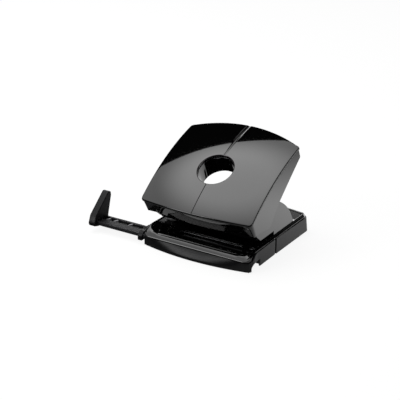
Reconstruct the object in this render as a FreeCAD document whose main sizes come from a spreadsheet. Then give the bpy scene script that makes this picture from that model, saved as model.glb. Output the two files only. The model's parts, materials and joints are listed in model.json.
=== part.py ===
import FreeCAD, Part
import math
import os
import re
import Sketcher

# Two-hole desk punch. +X is the user's right, +Y the rear, +Z up; the origin lies on the
# table under the middle of the base. The handle's own frame has its y axis along the chord
# of the crowned cover, from the lip to the rear edge, and its z axis out of the cover.

sizes = {
    # base
    "base_depth": 106.4,
    "front_bow": 5.2,
    "rear_bow": 4.6,
    "front_corner": 4.0,
    "rear_corner": 6.0,
    "facet_top": 0.8,
    "facet_run": 6.4,
    "ground_gap": 0.4,
    "skirt_wall": 1.6,
    "skirt_front_top": 8.3,
    "skirt_side_top": 14.8,
    "skirt_rear_top": 13.9,
    "front_part_depth": 44.2,
    "parting_gap": 0.7,
    "seam_gap": 0.4,
    "floor_low": 2.0,
    "floor_thickness": 2.0,
    "cross_wall_gap": 0.9,
    "notch_start": 1.2,
    "notch_depth": 15.0,
    "notch_height": 7.0,
    "notch_radius": 16.5,
    "boss_diameter": 5.0,
    "boss_rear_gap": 0.1,
    "base_screw_diameter": 2.2,
    "screw_head_diameter": 4.0,
    "screw_head_height": 1.3,
    "screw_tip_depth": 1.0,
    "screw_tip_gap": 0.34,
    "overcut": 1.0,
    # deck
    "rim_inset": 1.8,
    "rim_width": 2.2,
    "front_rim_setback": 1.2,
    "front_rim_top": 10.8,
    "front_edge_drop": 1.2,
    "roll_depth": 4.2,
    "roll_top": 12.6,
    "side_rim_top": 17.6,
    "rear_rim_top": 16.4,
    "deck_end_inset": 1.0,
    "sweep_start": 0.8,
    "sweep_length": 11.2,
    "crest_length": 4.0,
    "crest_drop": 0.6,
    "crest_rise": 0.2,
    "slot_floor": 16.5,
    "ramp_end": 16.8,
    "deck_thickness": 2.2,
    "rear_deck_start": 83.5,
    "rear_deck_drop": 0.9,
    "rear_rim_width": 4.0,
    "under_relief": 2.0,
    "under_ramp_setback": 7.6,
    "under_ramp_length": 6.0,
    # punch work
    "stop_y": -6.9,
    "hole_depth": 12.0,
    "hole_spacing": 80.0,
    "pin_diameter": 5.5,
    "pin_edge": 0.3,
    "pin_grind": 1.4,
    "running_clearance": 0.05,
    "slot_height": 4.2,
    "die_thickness": 2.0,
    "chip_clearance": 3.0,
    "die_end_margin": 7.0,
    "die_front_margin": 8.0,
    "die_rear_margin": 6.0,
    "guide_thickness": 2.0,
    "guide_end_margin": 8.0,
    "guide_side_gap": 0.4,
    "guide_reach": 24.6,
    "web_height": 8.0,
    "foot_reach": 12.0,
    "pin_tip_gap": 0.4,
    "pin_head_height": 2.0,
    "pin_head_diameter": 8.0,
    "pin_top": 39.0,
    "spring_wire": 0.8,
    "spring_diameter": 7.6,
    "spring_turns": 5.5,
    "frame_ear_setback": 6.0,
    "frame_ear_thickness": 2.0,
    "frame_ear_half": 5.0,
    "frame_ear_flare": 3.0,
    "frame_screw_inset": 6.0,
    "frame_screw_diameter": 3.0,
    # lever
    "pivot_z": 33.3,
    "pin_arm": 11.1,
    "axle_diameter": 6.0,
    "axle_end": 0.2,
    "clip_diameter": 9.0,
    "clip_thickness": 0.7,
    "clip_gap": 0.2,
    "clip_mouth": 4.4,
    "clip_groove_depth": 0.5,
    "yoke_ear_inset": 2.0,
    "yoke_ear_thickness": 2.0,
    "yoke_ear_half": 5.8,
    "yoke_toe": 2.0,
    "yoke_bar_margin": 4.4,
    "yoke_bar_under": 3.4,
    "yoke_bar_over": 4.0,
    "bush_wall": 1.0,
    "bar_diameter": 5.0,
    "bar_gap": 0.3,
    "yoke_web_drop": 12.0,
    "yoke_web_thickness": 2.0,
    "yoke_web_setback": 4.45,
    "yoke_web_length": 17.0,
    "lever_screw_place": 30.0,
    "lever_screw_setback": 12.45,
    "lever_screw_diameter": 3.0,
    "lever_screw_grip": 6.0,
    "lever_boss_diameter": 7.0,
    "lever_bore_depth": 8.0,
    # handle, in its own frame
    "handle_middle_y": -11.15,
    "handle_middle_z": 68.3,
    "handle_pitch": 27.1,
    "handle_length": 107.5,
    "profile_radius": 208.0,
    "crown_radius": 340.0,
    "handle_corner": 3.5,
    "lip_bow": 4.3,
    "tail_bow": 10.9,
    "cover_thickness": 2.2,
    "cover_seam": 0.3,
    "cover_reveal": 0.6,
    "shell_skin": 1.8,
    "shell_wall": 1.8,
    "hole_setback": 42.85,
    "hole_diameter": 33.3,
    "tube_length": 16.0,
    "tube_wall": 1.8,
    "groove_width": 1.2,
    "groove_depth": 0.7,
    "block_margin": 6.0,
    "block_side_margin": 8.0,
    "crown_reserve": 60.0,
    # lower edge of the shell, from the lip to the tail
    "brow_drop": 2.7,
    "chin_setback": 0.9,
    "chin_drop": 17.9,
    "jaw_along": 5.6,
    "jaw_drop": 19.7,
    "throat_along": 13.0,
    "throat_drop": 23.8,
    "belly_front_along": 23.3,
    "belly_front_drop": 31.1,
    "belly_along": 27.0,
    "belly_drop": 31.4,
    "belly_rear_along": 29.4,
    "belly_rear_drop": 29.8,
    "flank_along": 36.2,
    "flank_drop": 26.0,
    "waist_along": 47.5,
    "waist_drop": 21.2,
    "slope_along": 69.5,
    "slope_drop": 15.8,
    "heel_reach": 0.4,
    "heel_drop": 11.1,
    "tail_reach": 1.9,
    "tail_drop": 8.8,
    # cheeks and mechanism cover
    "cheek_thickness": 2.0,
    "cheek_side_gap": 0.2,
    "cheek_top": 46.0,
    "cheek_lift": 0.1,
    "cheek_crest_reach": 9.4,
    "cheek_crest_drop": 1.6,
    "cheek_crown_reach": 16.0,
    "cheek_brow_reach": 2.0,
    "cheek_brow_drop": 1.5,
    "cheek_nose_reach": 8.5,
    "cheek_nose_drop": 9.0,
    "cheek_chin_reach": 6.5,
    "cheek_chin_rise": 5.6,
    "cheek_toe_reach": 0.2,
    "fan_radius": 70.0,
    "fan_setback": 1.5,
    "fan_shoulder": 22.7,
    "cover_top": 35.0,
    "inner_cover_setback": 2.0,
    "inner_cover_wall": 2.0,
    "inner_cover_gap": 0.3,
    "inner_cover_roof": 3.0,
    "inner_cover_rear_wall": 2.4,
    "inner_cover_brow_reach": 19.5,
    "inner_cover_brow_drop": 0.9,
    "inner_cover_chamfer": 2.0,
    "inner_cover_chamfer_length": 3.0,
    "inner_room_reach": 20.7,
    # rail
    "rail_setback": 2.0,
    "rail_width": 16.0,
    "rail_low": 6.4,
    "rail_thickness": 2.85,
    "rail_edge": 0.855,
    "rail_left": 109.0,
    "rail_length": 124.0,
    "rail_clearance": 0.3,
    "channel_setback": 9.6,
    "channel_width": 3.8,
    "channel_depth": 0.6,
    "channel_left_margin": 4.0,
    "channel_right_margin": 6.0,
    "mark_length": 0.7,
    "mark_width": 2.6,
    "mark_height": 0.35,
    "mark_pitch": 8.0,
    "mark_first": 100.0,
    "collar_length": 4.2,
    "collar_low": 3.7,
    "collar_top": 11.4,
    "collar_wall": 1.6,
    "collar_front_gap": 0.2,
    "collar_corner": 2.0,
    "collar_slope_length": 4.0,
    "collar_slope_drop": 3.5,
    "window_length": 3.0,
    "window_width": 9.0,
    "window_thickness": 0.8,
    "window_setback": 4.0,
    "stop_face": 103.3,
    "stop_thickness": 6.9,
    "stop_taper": 3.0,
    "stop_low": 4.6,
    "stop_shoulder": 15.3,
    "stop_rear_shoulder": 26.6,
    "stop_top": 32.2,
    "stop_top_width": 2.8,
    "stop_lean": 4.6,
    "stop_corner": 1.4,
    "stop_front_wall": 2.0,
    "stop_rear_wall": 0.6,
    "stop_foot_rise": 1.4,
    "stop_screw_reach": 2.3,
    "stop_screw_diameter": 2.2,
    "stop_screw_length": 3.6,
    "detent_thickness": 0.5,
    "detent_length": 26.0,
    "detent_width": 8.0,
    "detent_place": 30.0,
    "detent_foot": 8.0,
    "detent_crown_start": 3.0,
    "detent_crown_end": 5.0,
    "detent_toe_gap": 0.3,
    # tray
    "tray_floor": 1.0,
    "tray_wall": 1.6,
    "tray_nose_inset": 9.6,
    "tray_nose_gap": 1.4,
    "tray_nose_side_gap": 0.5,
    "tray_nose_top": 11.5,
    "tray_open_reach": 5.0,
    "peg_diameter": 3.0,
    "peg_length": 2.4,
    "peg_end_gap": 0.3,
    "peg_inset": 1.8,
    "peg_z": 2.8,
    "lug_half": 2.8,
    "lug_top": 6.4,
    "lug_thickness": 2.0,
    "mat_width": 84.0,
    "mat_front": 27.0,
    "mat_rear": 48.0,
    "foot_diameter": 9.0,
    "foot_height": 1.8,
    "foot_inset": 12.6,
    "foot_setback": 10.2,
    "side_gap": 0.3,
    "beyond": 40.0,
    "through_cut": 200.0,
}

places = {
    # across: the punch work sets the housing's width, and that the base's and the handle's
    "pin_x": "hole_spacing / 2",
    "die_half": "pin_x + die_end_margin",
    "guide_half": "pin_x + guide_end_margin",
    "cheek_inner": "guide_half + guide_side_gap",
    "cheek_outer": "cheek_inner + cheek_thickness",
    "inner_cover_half": "cheek_inner - inner_cover_gap",
    "deck_inner": "cheek_outer + cheek_side_gap",
    "deck_half": "deck_inner + rim_width",
    "half_width": "deck_half + rim_inset",
    "base_width": "half_width * 2",
    "handle_width": "base_width",
    "frame_ear_place": "pin_x - frame_ear_setback",
    "frame_screw_place": "guide_half - frame_screw_inset",
    "yoke_ear_place": "guide_half - yoke_ear_inset",
    "yoke_ear_outer": "yoke_ear_place + yoke_ear_thickness / 2",
    "axle_half": "yoke_ear_outer + clip_gap + clip_thickness + axle_end",
    "tray_nose_half": "half_width - tray_nose_inset",
    "boss_x": "tray_nose_half + peg_length + peg_end_gap + boss_diameter / 2",
    "foot_x": "half_width - foot_inset",
    # along and up
    "base_front": "-base_depth / 2",
    "base_rear": "base_depth / 2",
    "front_part_rear": "base_front + front_part_depth",
    "tray_front": "front_part_rear + parting_gap",
    "foot_y": "base_front + foot_setback",
    "floor_top": "floor_low + floor_thickness",
    "deck_under": "slot_floor - deck_thickness",
    "deck_front": "base_front - front_rim_setback",
    "ramp_top": "base_front + ramp_end",
    "sweep_front": "base_front + sweep_start",
    "sweep_rear": "sweep_front + sweep_length",
    "rear_deck": "base_front + rear_deck_start",
    "pin_y": "stop_y - hole_depth",
    "pivot_y": "pin_y - pin_arm",
    "slot_top": "slot_floor + slot_height",
    "guide_top": "slot_top + guide_thickness",
    "guide_front": "stop_y - guide_reach",
    "web_rear": "stop_y + guide_thickness",
    "foot_rear": "web_rear + foot_reach",
    "pin_tip": "slot_top + pin_tip_gap",
    "pin_hole": "pin_diameter + 2 * running_clearance",
    "axle_hole": "axle_diameter + 2 * running_clearance",
    "pin_head_low": "pin_top - pin_head_height",
    "bar_z": "pin_top + bar_gap + bar_diameter / 2",
    "handle_sag": "profile_radius - sqrt(profile_radius^2 - handle_length^2 / 4)",
    "lip_side": "-handle_length / 2 + lip_bow",
    "tail_side": "handle_length / 2 - tail_bow",
    "hole_place": "lip_side + hole_setback",
    "shell_half": "handle_width / 2 - cover_reveal",
    "shell_depth": "cover_thickness + cover_seam",
    "tube_outer": "hole_diameter + 2 * tube_wall",
    # places of the pivot and the press bar in the handle's own frame
    "pivot_along": "(pivot_y - handle_middle_y) * cos(handle_pitch * 1deg)"
                   " + (pivot_z - handle_middle_z) * sin(handle_pitch * 1deg)",
    "pivot_out": "(pivot_z - handle_middle_z) * cos(handle_pitch * 1deg)"
                 " - (pivot_y - handle_middle_y) * sin(handle_pitch * 1deg)",
    "bar_along": "(pin_y - handle_middle_y) * cos(handle_pitch * 1deg)"
                 " + (bar_z - handle_middle_z) * sin(handle_pitch * 1deg)",
    "bar_out": "(bar_z - handle_middle_z) * cos(handle_pitch * 1deg)"
               " - (pin_y - handle_middle_y) * sin(handle_pitch * 1deg)",
    "web_top": "yoke_web_thickness - yoke_web_drop",
    "web_front": "lip_side + yoke_web_setback",
    "web_end": "web_front + yoke_web_length",
    "lever_screw_along": "lip_side + lever_screw_setback",
    "rail_front": "base_front + rail_setback",
    "rail_rear": "rail_front + rail_width",
    "rail_top": "rail_low + rail_thickness",
    "tunnel_front": "rail_front - rail_clearance",
    "tunnel_rear": "rail_rear + rail_clearance",
    "tunnel_low": "rail_low - rail_clearance",
    "tunnel_top": "rail_top + rail_clearance",
    "channel_front": "rail_front + channel_setback",
    "cross_wall_front": "tunnel_rear + cross_wall_gap",
    "nose_front": "cross_wall_front + skirt_wall + tray_nose_gap",
    "tray_floor_top": "tray_floor + tray_wall",
    "peg_y": "nose_front + peg_inset",
    "boss_rear_y": "front_part_rear - boss_diameter / 2 - boss_rear_gap",
    "cheek_low": "slot_top - cheek_lift",
    "fan_rear": "rear_deck - fan_setback",
    "inner_cover_front": "web_rear + inner_cover_setback",
    "rail_middle": "rail_length / 2 - rail_left",
}

doc = FreeCAD.newDocument("desk_punch")


def fill_sheet(label, table, formula):
    sheet = doc.addObject("Spreadsheet::Sheet", label)
    for row, (name, entry) in enumerate(table.items(), start=1):
        cell = "A%d" % row
        sheet.set(cell, "=" + bound(entry) if formula else str(entry))
        sheet.setAlias(cell, name)
    doc.recompute()
    return sheet


def bound(formula):
    """Formula with each name led by the sheet that holds it."""
    def lead(match):
        word = match.group()
        if word in sizes:
            return "Sizes." + word
        if word in places:
            return "Places." + word
        return word
    return re.sub(r"[a-z]\w+", lead, str(formula))


size_sheet = fill_sheet("Sizes", sizes, False)
place_sheet = fill_sheet("Places", places, True)
scratch_cell = "B1"
nodes = []


def number(formula):
    """Value of a formula, worked out by the sheet of places."""
    place_sheet.set(scratch_cell, "=" + bound(formula))
    place_sheet.recompute()
    return float(place_sheet.get(scratch_cell))


def new_body(label):
    body = doc.addObject("PartDesign::Body", label)
    body.Label = label
    nodes.append(body)
    return body


def new_sketch(body, plane, offset):
    """Sketch on one of the body's planes, moved along its normal by a formula."""
    sketch = body.newObject("Sketcher::SketchObject", "outline")
    datum = [part for part in body.Origin.OriginFeatures if part.Role == plane]
    sketch.AttachmentSupport = [(datum[0], "")]
    sketch.MapMode = "FlatFace"
    # the normal of the XZ plane points to the front
    lift = "-(%s)" % offset if plane == "XZ_Plane" else offset
    sketch.setExpression("AttachmentOffset.Base.z", bound(lift))
    return sketch


def bind(sketch, kind, parts, formula):
    index = sketch.addConstraint(Sketcher.Constraint(kind, *parts, number(formula)))
    sketch.setExpression("Constraints[%d]" % index, bound(formula))


def draw_outline(sketch, points):
    """Closed outline, drawn anticlockwise. A third entry makes the stretch to the next
    point an arc of that radius that bulges outwards, or inwards if a fourth is True."""
    spots = [FreeCAD.Vector(number(point[0]), number(point[1]), 0) for point in points]
    ends = []
    first = sketch.GeometryCount
    for index, point in enumerate(points):
        start = spots[index]
        stop = spots[(index + 1) % len(points)]
        if len(point) == 2:
            sketch.addGeometry(Part.LineSegment(start, stop), False)
            ends.append((1, 2))
            continue
        chord = stop - start
        radius = number(point[2])
        rise = radius - math.sqrt(radius ** 2 - chord.Length ** 2 / 4)
        side = FreeCAD.Vector(chord.y, -chord.x, 0).normalize()
        inward = len(point) == 4 and point[3]
        middle = (start + stop) / 2 + side * (-rise if inward else rise)
        sketch.addGeometry(Part.Arc(start, middle, stop), False)
        ends.append((2, 1) if inward else (1, 2))
    for index, point in enumerate(points):
        before = (index - 1) % len(points)
        joint = (first + before, ends[before][1], first + index, ends[index][0])
        sketch.addConstraint(Sketcher.Constraint("Coincident", *joint))
        bind(sketch, "DistanceX", (-1, 1, first + index, ends[index][0]), point[0])
        bind(sketch, "DistanceY", (-1, 1, first + index, ends[index][0]), point[1])
        if len(point) > 2:
            bind(sketch, "Radius", (first + index,), point[2])


def extrude(body, kind, sketch, thickness):
    """Pad or Pocket, as deep on one side of the sketch as on the other."""
    feature = body.newObject("PartDesign::" + kind, kind.lower())
    feature.Profile = sketch
    feature.Midplane = True
    feature.setExpression("Length", bound(thickness))
    sketch.Visibility = False
    return feature


def prism(body, kind, plane, points, thickness, offset="0"):
    sketch = new_sketch(body, plane, offset)
    draw_outline(sketch, points)
    return extrude(body, kind, sketch, thickness)


def rounds(body, kind, plane, centres, diameter, thickness, offset="0"):
    """Round pads or pockets, one at each centre."""
    sketch = new_sketch(body, plane, offset)
    for index, (across, up) in enumerate(centres):
        spot = FreeCAD.Vector(number(across), number(up), 0)
        circle = Part.Circle(spot, FreeCAD.Vector(0, 0, 1), number(diameter) / 2)
        sketch.addGeometry(circle, False)
        bind(sketch, "DistanceX", (-1, 1, index, 3), across)
        bind(sketch, "DistanceY", (-1, 1, index, 3), up)
        bind(sketch, "Diameter", (index,), diameter)
    return extrude(body, kind, sketch, thickness)


def box_points(left, right, low, high):
    return [(left, low), (right, low), (right, high), (left, high)]


def span(low, high):
    """Middle and thickness of a stretch between two formulas."""
    return "((%s) + (%s)) / 2" % (low, high), "(%s) - (%s)" % (high, low)


def slab(body, kind, left, right, front, rear, low, high):
    """Box between six formulas."""
    middle, thickness = span(low, high)
    return prism(body, kind, "XY_Plane", box_points(left, right, front, rear), thickness, middle)


def in_handle_frame(thing):
    """Places a thing drawn in the handle's own frame."""
    turn = FreeCAD.Rotation(FreeCAD.Vector(1, 0, 0), number("handle_pitch"))
    thing.Placement = FreeCAD.Placement(FreeCAD.Vector(0, 0, 0), turn)
    thing.setExpression("Placement.Base.y", bound("handle_middle_y"))
    thing.setExpression("Placement.Base.z", bound("handle_middle_z"))
    thing.setExpression("Placement.Rotation.Angle", bound("handle_pitch"))


def boolean(kind, label, base, tool):
    result = doc.addObject("Part::" + kind, label)
    result.Base = base
    result.Tool = tool
    return result


def group(label, members):
    """Separate solids of one kind, kept together as one node."""
    result = doc.addObject("Part::Compound", label)
    result.Label = label
    result.Links = members
    nodes.append(result)
    return result


def cylinder(diameter, height, place):
    part = doc.addObject("Part::Cylinder", "round")
    part.setExpression("Radius", bound("(%s) / 2" % diameter))
    part.setExpression("Height", bound(height))
    for axis, formula in zip("xyz", place):
        part.setExpression("Placement.Base." + axis, bound(formula))
    return part


def screw(diameter, length, place, head_up):
    """Cross-recessed pan screw on a vertical axis; place is the underside of its head."""
    across, along, seat = place
    if head_up:
        head_low, shank_low = seat, "(%s) - (%s)" % (seat, length)
        recess_low = "(%s) + screw_head_height / 2" % seat
    else:
        head_low, shank_low = "(%s) - screw_head_height" % seat, seat
        recess_low = head_low
    shank = cylinder(diameter, length, (across, along, shank_low))
    head = cylinder("screw_head_diameter", "screw_head_height", (across, along, head_low))
    whole = boolean("Fuse", "screw", shank, head)
    for wide, deep in (("0.6", "0.2"), ("0.2", "0.6")):
        slot = doc.addObject("Part::Box", "recess")
        slot.setExpression("Length", bound("screw_head_diameter * " + wide))
        slot.setExpression("Width", bound("screw_head_diameter * " + deep))
        slot.setExpression("Height", bound("screw_head_height / 2"))
        corner = "(%s) - screw_head_diameter * %s / 2"
        slot.setExpression("Placement.Base.x", bound(corner % (across, wide)))
        slot.setExpression("Placement.Base.y", bound(corner % (along, deep)))
        slot.setExpression("Placement.Base.z", bound(recess_low))
        whole = boolean("Cut", "screw", whole, slot)
    return whole


def bowed_front(inset, rear):
    """Plan outline of the base from its bowed front, between rounded corners, to a straight
    rear line."""
    half = "(half_width - front_corner)"
    radius = "(%s^2 + front_bow^2) / (2 * front_bow)" % half
    turn = "(front_corner - %s)" % inset
    left, right = "-half_width + %s" % inset, "half_width - %s" % inset
    front, flank = "base_front + %s" % inset, "base_front + front_corner"
    return [("-" + half, front, radius), (half, front, turn), (right, flank), (right, rear),
            (left, rear), (left, flank, turn)]


def bowed_rear(inset, front):
    """Plan outline of the base from a straight front line to its bowed rear, between
    rounded corners."""
    half = "(half_width - rear_corner)"
    radius = "(%s^2 + rear_bow^2) / (2 * rear_bow)" % half
    turn = "(rear_corner - %s)" % inset
    left, right = "-half_width + %s" % inset, "half_width - %s" % inset
    rear, flank = "base_rear - %s" % inset, "base_rear - rear_corner"
    return [(left, front), (right, front), (right, flank, turn), (half, rear, radius),
            ("-" + half, rear, turn), (left, flank)]


def make_base_frame():
    """Front part of the skirt, its floor, the rail's bed and the bosses for the deck."""
    body = new_body("base_frame")
    middle, height = span("ground_gap", "skirt_side_top")
    prism(body, "Pad", "XY_Plane", bowed_front("0", "front_part_rear"), height, middle)
    slab(body, "Pocket", "-half_width + skirt_wall", "half_width - skirt_wall", "tunnel_front",
         "front_part_rear + beyond", "floor_top", "skirt_side_top + overcut")
    # flat slanted facet across the bowed front
    prism(body, "Pocket", "YZ_Plane", [
        ("base_front - beyond", "-overcut"), ("base_front - facet_top - facet_run", "-overcut"),
        ("base_front - facet_top", "skirt_front_top"), ("base_front - beyond", "skirt_front_top")],
        "base_width + beyond")
    # the front stands lower than the sides, with a sweep between them
    prism(body, "Pocket", "YZ_Plane", [
        ("base_front - beyond", "skirt_front_top"), ("sweep_front", "skirt_front_top"),
        ("(sweep_front + sweep_rear) / 2", "(skirt_front_top + skirt_side_top) / 2"),
        ("sweep_rear", "skirt_side_top"), ("sweep_rear", "skirt_side_top + beyond"),
        ("base_front - beyond", "skirt_side_top + beyond")], "base_width + beyond")
    # hollow under the floor, and the mouth that takes the nose of the tray
    prism(body, "Pocket", "XY_Plane", bowed_front("skirt_wall", "front_part_rear + beyond"),
          "floor_low * 2")
    opening = "tray_nose_half + tray_nose_side_gap"
    slab(body, "Pocket", "-(%s)" % opening, opening, "cross_wall_front + skirt_wall",
         "front_part_rear + beyond", "-overcut", "skirt_side_top")
    # wall across, behind the rail
    slab(body, "Pad", "-half_width + skirt_wall / 2", "half_width - skirt_wall / 2",
         "cross_wall_front", "cross_wall_front + skirt_wall", "floor_low", "deck_under")
    low_middle, tall = span("floor_low", "deck_under")
    rounds(body, "Pad", "XY_Plane", deck_screw_centres(), "boss_diameter", tall, low_middle)
    rounds(body, "Pocket", "XY_Plane", deck_screw_centres(), "base_screw_diameter",
           "through_cut", "deck_under")
    for side in ("-", ""):
        # lug with the bearing of the tray's peg
        lug_inner, lug_outer = "tray_nose_half + side_gap", "tray_nose_half + side_gap + lug_thickness"
        place, thickness = span(lug_inner, lug_outer)
        lug = [("peg_y - lug_half", "ground_gap"), ("peg_y + lug_half", "ground_gap"),
               ("peg_y + lug_half", "lug_top"), ("peg_y - lug_half", "lug_top")]
        prism(body, "Pad", "YZ_Plane", lug, thickness, "%s(%s)" % (side, place))
        rounds(body, "Pocket", "YZ_Plane", [("peg_y", "peg_z")],
               "peg_diameter + 2 * running_clearance", "lug_thickness * 3", "%s(%s)" % (side, place))
    # way out of the rail on the left, and the arched notch on the right
    slab(body, "Pocket", "-half_width - beyond", "-half_width + skirt_wall * 2",
         "tunnel_front", "tunnel_rear", "tunnel_low", "tunnel_top")
    prism(body, "Pocket", "YZ_Plane", [
        ("base_front + notch_start", "-overcut"),
        ("base_front + notch_start + notch_depth", "-overcut"),
        ("base_front + notch_start + notch_depth", "notch_height", "notch_radius"),
        ("base_front + notch_start", "ground_gap")],
        "skirt_wall * 3", "half_width")
    # seats of the front feet
    rounds(body, "Pad", "XY_Plane", foot_centres(), "foot_diameter + skirt_wall",
           "floor_low - ground_gap", "(floor_low + ground_gap) / 2")
    rounds(body, "Pocket", "XY_Plane", foot_centres(), "foot_diameter", "foot_height * 2", "0")


def foot_centres():
    return [("-foot_x", "foot_y"), ("foot_x", "foot_y")]


def make_front_feet():
    feet = [cylinder("foot_diameter", "foot_height", (across, along, "0"))
            for across, along in foot_centres()]
    group("front_feet", feet)


def rim_line(rear_end):
    """Top line of the rim, from the rear to the front."""
    return [(rear_end, "rear_rim_top"), ("sweep_rear + crest_length", "side_rim_top"),
            ("sweep_rear", "side_rim_top - crest_drop"),
            ("(sweep_front + sweep_rear) / 2", "(front_rim_top + side_rim_top) / 2"),
            ("sweep_front", "front_rim_top + crest_rise"),
            ("deck_front", "front_rim_top - front_edge_drop")]


def make_base_deck():
    """Glossy deck: rim all round, paper ramp, slot floor and rear deck."""
    body = new_body("base_deck")
    rear_end = "base_rear + rear_bow"
    lip_low = "skirt_side_top + seam_gap"
    rear_low = "skirt_rear_top + seam_gap"
    front_low = "skirt_front_top + seam_gap"
    side = [("deck_front", front_low), ("sweep_front", front_low),
            ("(sweep_front + sweep_rear) / 2", "(%s + %s) / 2" % (front_low, lip_low)),
            ("sweep_rear", lip_low), ("front_part_rear", lip_low),
            ("front_part_rear", rear_low), (rear_end, rear_low)]
    prism(body, "Pad", "YZ_Plane", side + rim_line(rear_end), "deck_half * 2")
    # core between the side rims carries the ramp and the floors, down to the deck's underside
    core = [("deck_front + roll_depth", "tunnel_top + side_gap"),
            ("cross_wall_front - side_gap", "tunnel_top + side_gap"),
            ("cross_wall_front - side_gap", "deck_under"), ("rear_deck", "deck_under"),
            ("rear_deck", "slot_floor"), ("ramp_top", "slot_floor"),
            ("deck_front + roll_depth", "roll_top")]
    prism(body, "Pad", "YZ_Plane", core, "deck_inner * 2 + rim_width / 2")
    # space above the rolled edge, the ramp and the floors
    air = [("deck_front", "front_rim_top - front_edge_drop"),
           ("deck_front + roll_depth", "roll_top"), ("ramp_top", "slot_floor"),
           ("rear_deck", "slot_floor"), ("rear_deck", "slot_floor - rear_deck_drop"),
           ("base_rear - rear_rim_width", "slot_floor - rear_deck_drop"),
           ("base_rear - rear_rim_width", "slot_floor + beyond"),
           ("deck_front", "slot_floor + beyond")]
    prism(body, "Pocket", "YZ_Plane", air, "deck_inner * 2")
    # plan shape, bowed at the front and at the rear
    trim_plan(body)
    # space over the rail, under the ramp
    under = [("rail_front - side_gap * 2", "0"), ("cross_wall_front - side_gap", "0"),
             ("cross_wall_front - side_gap", "deck_under - under_relief"),
             ("ramp_top - under_ramp_length", "deck_under - under_relief"),
             ("deck_front + under_ramp_setback", "tunnel_top"),
             ("rail_front - side_gap * 2", "tunnel_top")]
    prism(body, "Pocket", "YZ_Plane", under, "(half_width - skirt_wall - side_gap) * 2")
    # window that the die plate fills, and holes for the deck and frame screws
    slab(body, "Pocket", "-die_half", "die_half", "pin_y - die_front_margin",
         "pin_y + die_rear_margin", "slot_floor - die_thickness", "slot_floor + overcut")
    rounds(body, "Pocket", "XY_Plane", [("-pin_x", "pin_y"), ("pin_x", "pin_y")],
           "pin_hole + chip_clearance", "deck_thickness * 2", "deck_under")
    rounds(body, "Pocket", "XY_Plane", deck_screw_centres(), "base_screw_diameter",
           "(slot_floor - screw_tip_depth + screw_tip_gap - deck_under) * 2", "deck_under")
    rounds(body, "Pocket", "XY_Plane", frame_screw_centres(), "frame_screw_diameter",
           "through_cut", "slot_floor")


def trim_plan(body):
    """Cuts the deck to its plan outline: straight in front, bowed behind, round corners."""
    front_half, rear_half = "(deck_half - front_corner)", "(deck_half - rear_corner)"
    radius = "(%s^2 + rear_bow^2) / (2 * rear_bow)" % rear_half
    rear = "base_rear - deck_end_inset"
    front_flank, rear_flank = "deck_front + front_corner", "%s - rear_corner" % rear
    sketch = new_sketch(body, "XY_Plane", "0")
    draw_outline(sketch, box_points("-half_width - beyond", "half_width + beyond",
                                    "base_front - beyond", "base_rear + beyond"))
    draw_outline(sketch, [
        ("-" + front_half, "deck_front"), (front_half, "deck_front", "front_corner"),
        ("deck_half", front_flank), ("deck_half", rear_flank, "rear_corner"),
        (rear_half, rear, radius), ("-" + rear_half, rear, "rear_corner"),
        ("-deck_half", rear_flank), ("-deck_half", front_flank, "front_corner")])
    extrude(body, "Pocket", sketch, "through_cut")


def deck_screw_centres():
    return [(side + "boss_x", along) for side in ("-", "") for along in ("peg_y", "boss_rear_y")]


def frame_screw_centres():
    return [("%sframe_screw_place" % side, "(web_rear + foot_rear) / 2") for side in ("-", "")]


def make_deck_screws():
    group("deck_screws", [
        screw("base_screw_diameter", "slot_floor - floor_low - screw_tip_depth",
              (across, along, "floor_low"), False)
        for across, along in deck_screw_centres()])


def make_frame_screws():
    group("frame_screws", [
        screw("frame_screw_diameter", "guide_thickness + deck_thickness",
              (across, along, "slot_floor + guide_thickness"), True)
        for across, along in frame_screw_centres()])


def make_die_plate():
    body = new_body("die_plate")
    slab(body, "Pad", "-die_half", "die_half", "pin_y - die_front_margin",
         "pin_y + die_rear_margin", "slot_floor - die_thickness", "slot_floor")
    rounds(body, "Pocket", "XY_Plane", [("-pin_x", "pin_y"), ("pin_x", "pin_y")],
           "pin_hole", "through_cut", "slot_floor")


def make_punch_frame():
    """Folded steel: foot on the deck, web that stops the paper, guide plate and two ears."""
    body = new_body("punch_frame")
    fold = [("stop_y", "slot_floor"), ("foot_rear", "slot_floor"),
            ("foot_rear", "slot_floor + guide_thickness"), ("web_rear", "slot_floor + guide_thickness"),
            ("web_rear", "guide_top + web_height"), ("stop_y", "guide_top + web_height"),
            ("stop_y", "guide_top"), ("guide_front", "guide_top"),
            ("guide_front", "slot_top"), ("stop_y", "slot_top")]
    prism(body, "Pad", "YZ_Plane", fold, "guide_half * 2")
    ear = [("guide_front", "guide_top"),
           ("pivot_y + frame_ear_half + frame_ear_flare", "guide_top"),
           ("pivot_y + frame_ear_half", "pivot_z"),
           ("pivot_y + frame_ear_half / 2", "pivot_z + frame_ear_half"),
           ("pivot_y - frame_ear_half / 2", "pivot_z + frame_ear_half"),
           ("pivot_y - frame_ear_half", "pivot_z"),
           ("pivot_y - frame_ear_half", "guide_top + frame_ear_flare")]
    for side in ("-", ""):
        prism(body, "Pad", "YZ_Plane", ear, "frame_ear_thickness", side + "frame_ear_place")
    rounds(body, "Pocket", "YZ_Plane", [("pivot_y", "pivot_z")], "axle_hole", "guide_half * 2")
    rounds(body, "Pocket", "XY_Plane", [("-pin_x", "pin_y"), ("pin_x", "pin_y")],
           "pin_hole", "guide_thickness * 3", "guide_top")
    rounds(body, "Pocket", "XY_Plane", frame_screw_centres(), "frame_screw_diameter",
           "guide_thickness * 3", "slot_floor")


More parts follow.
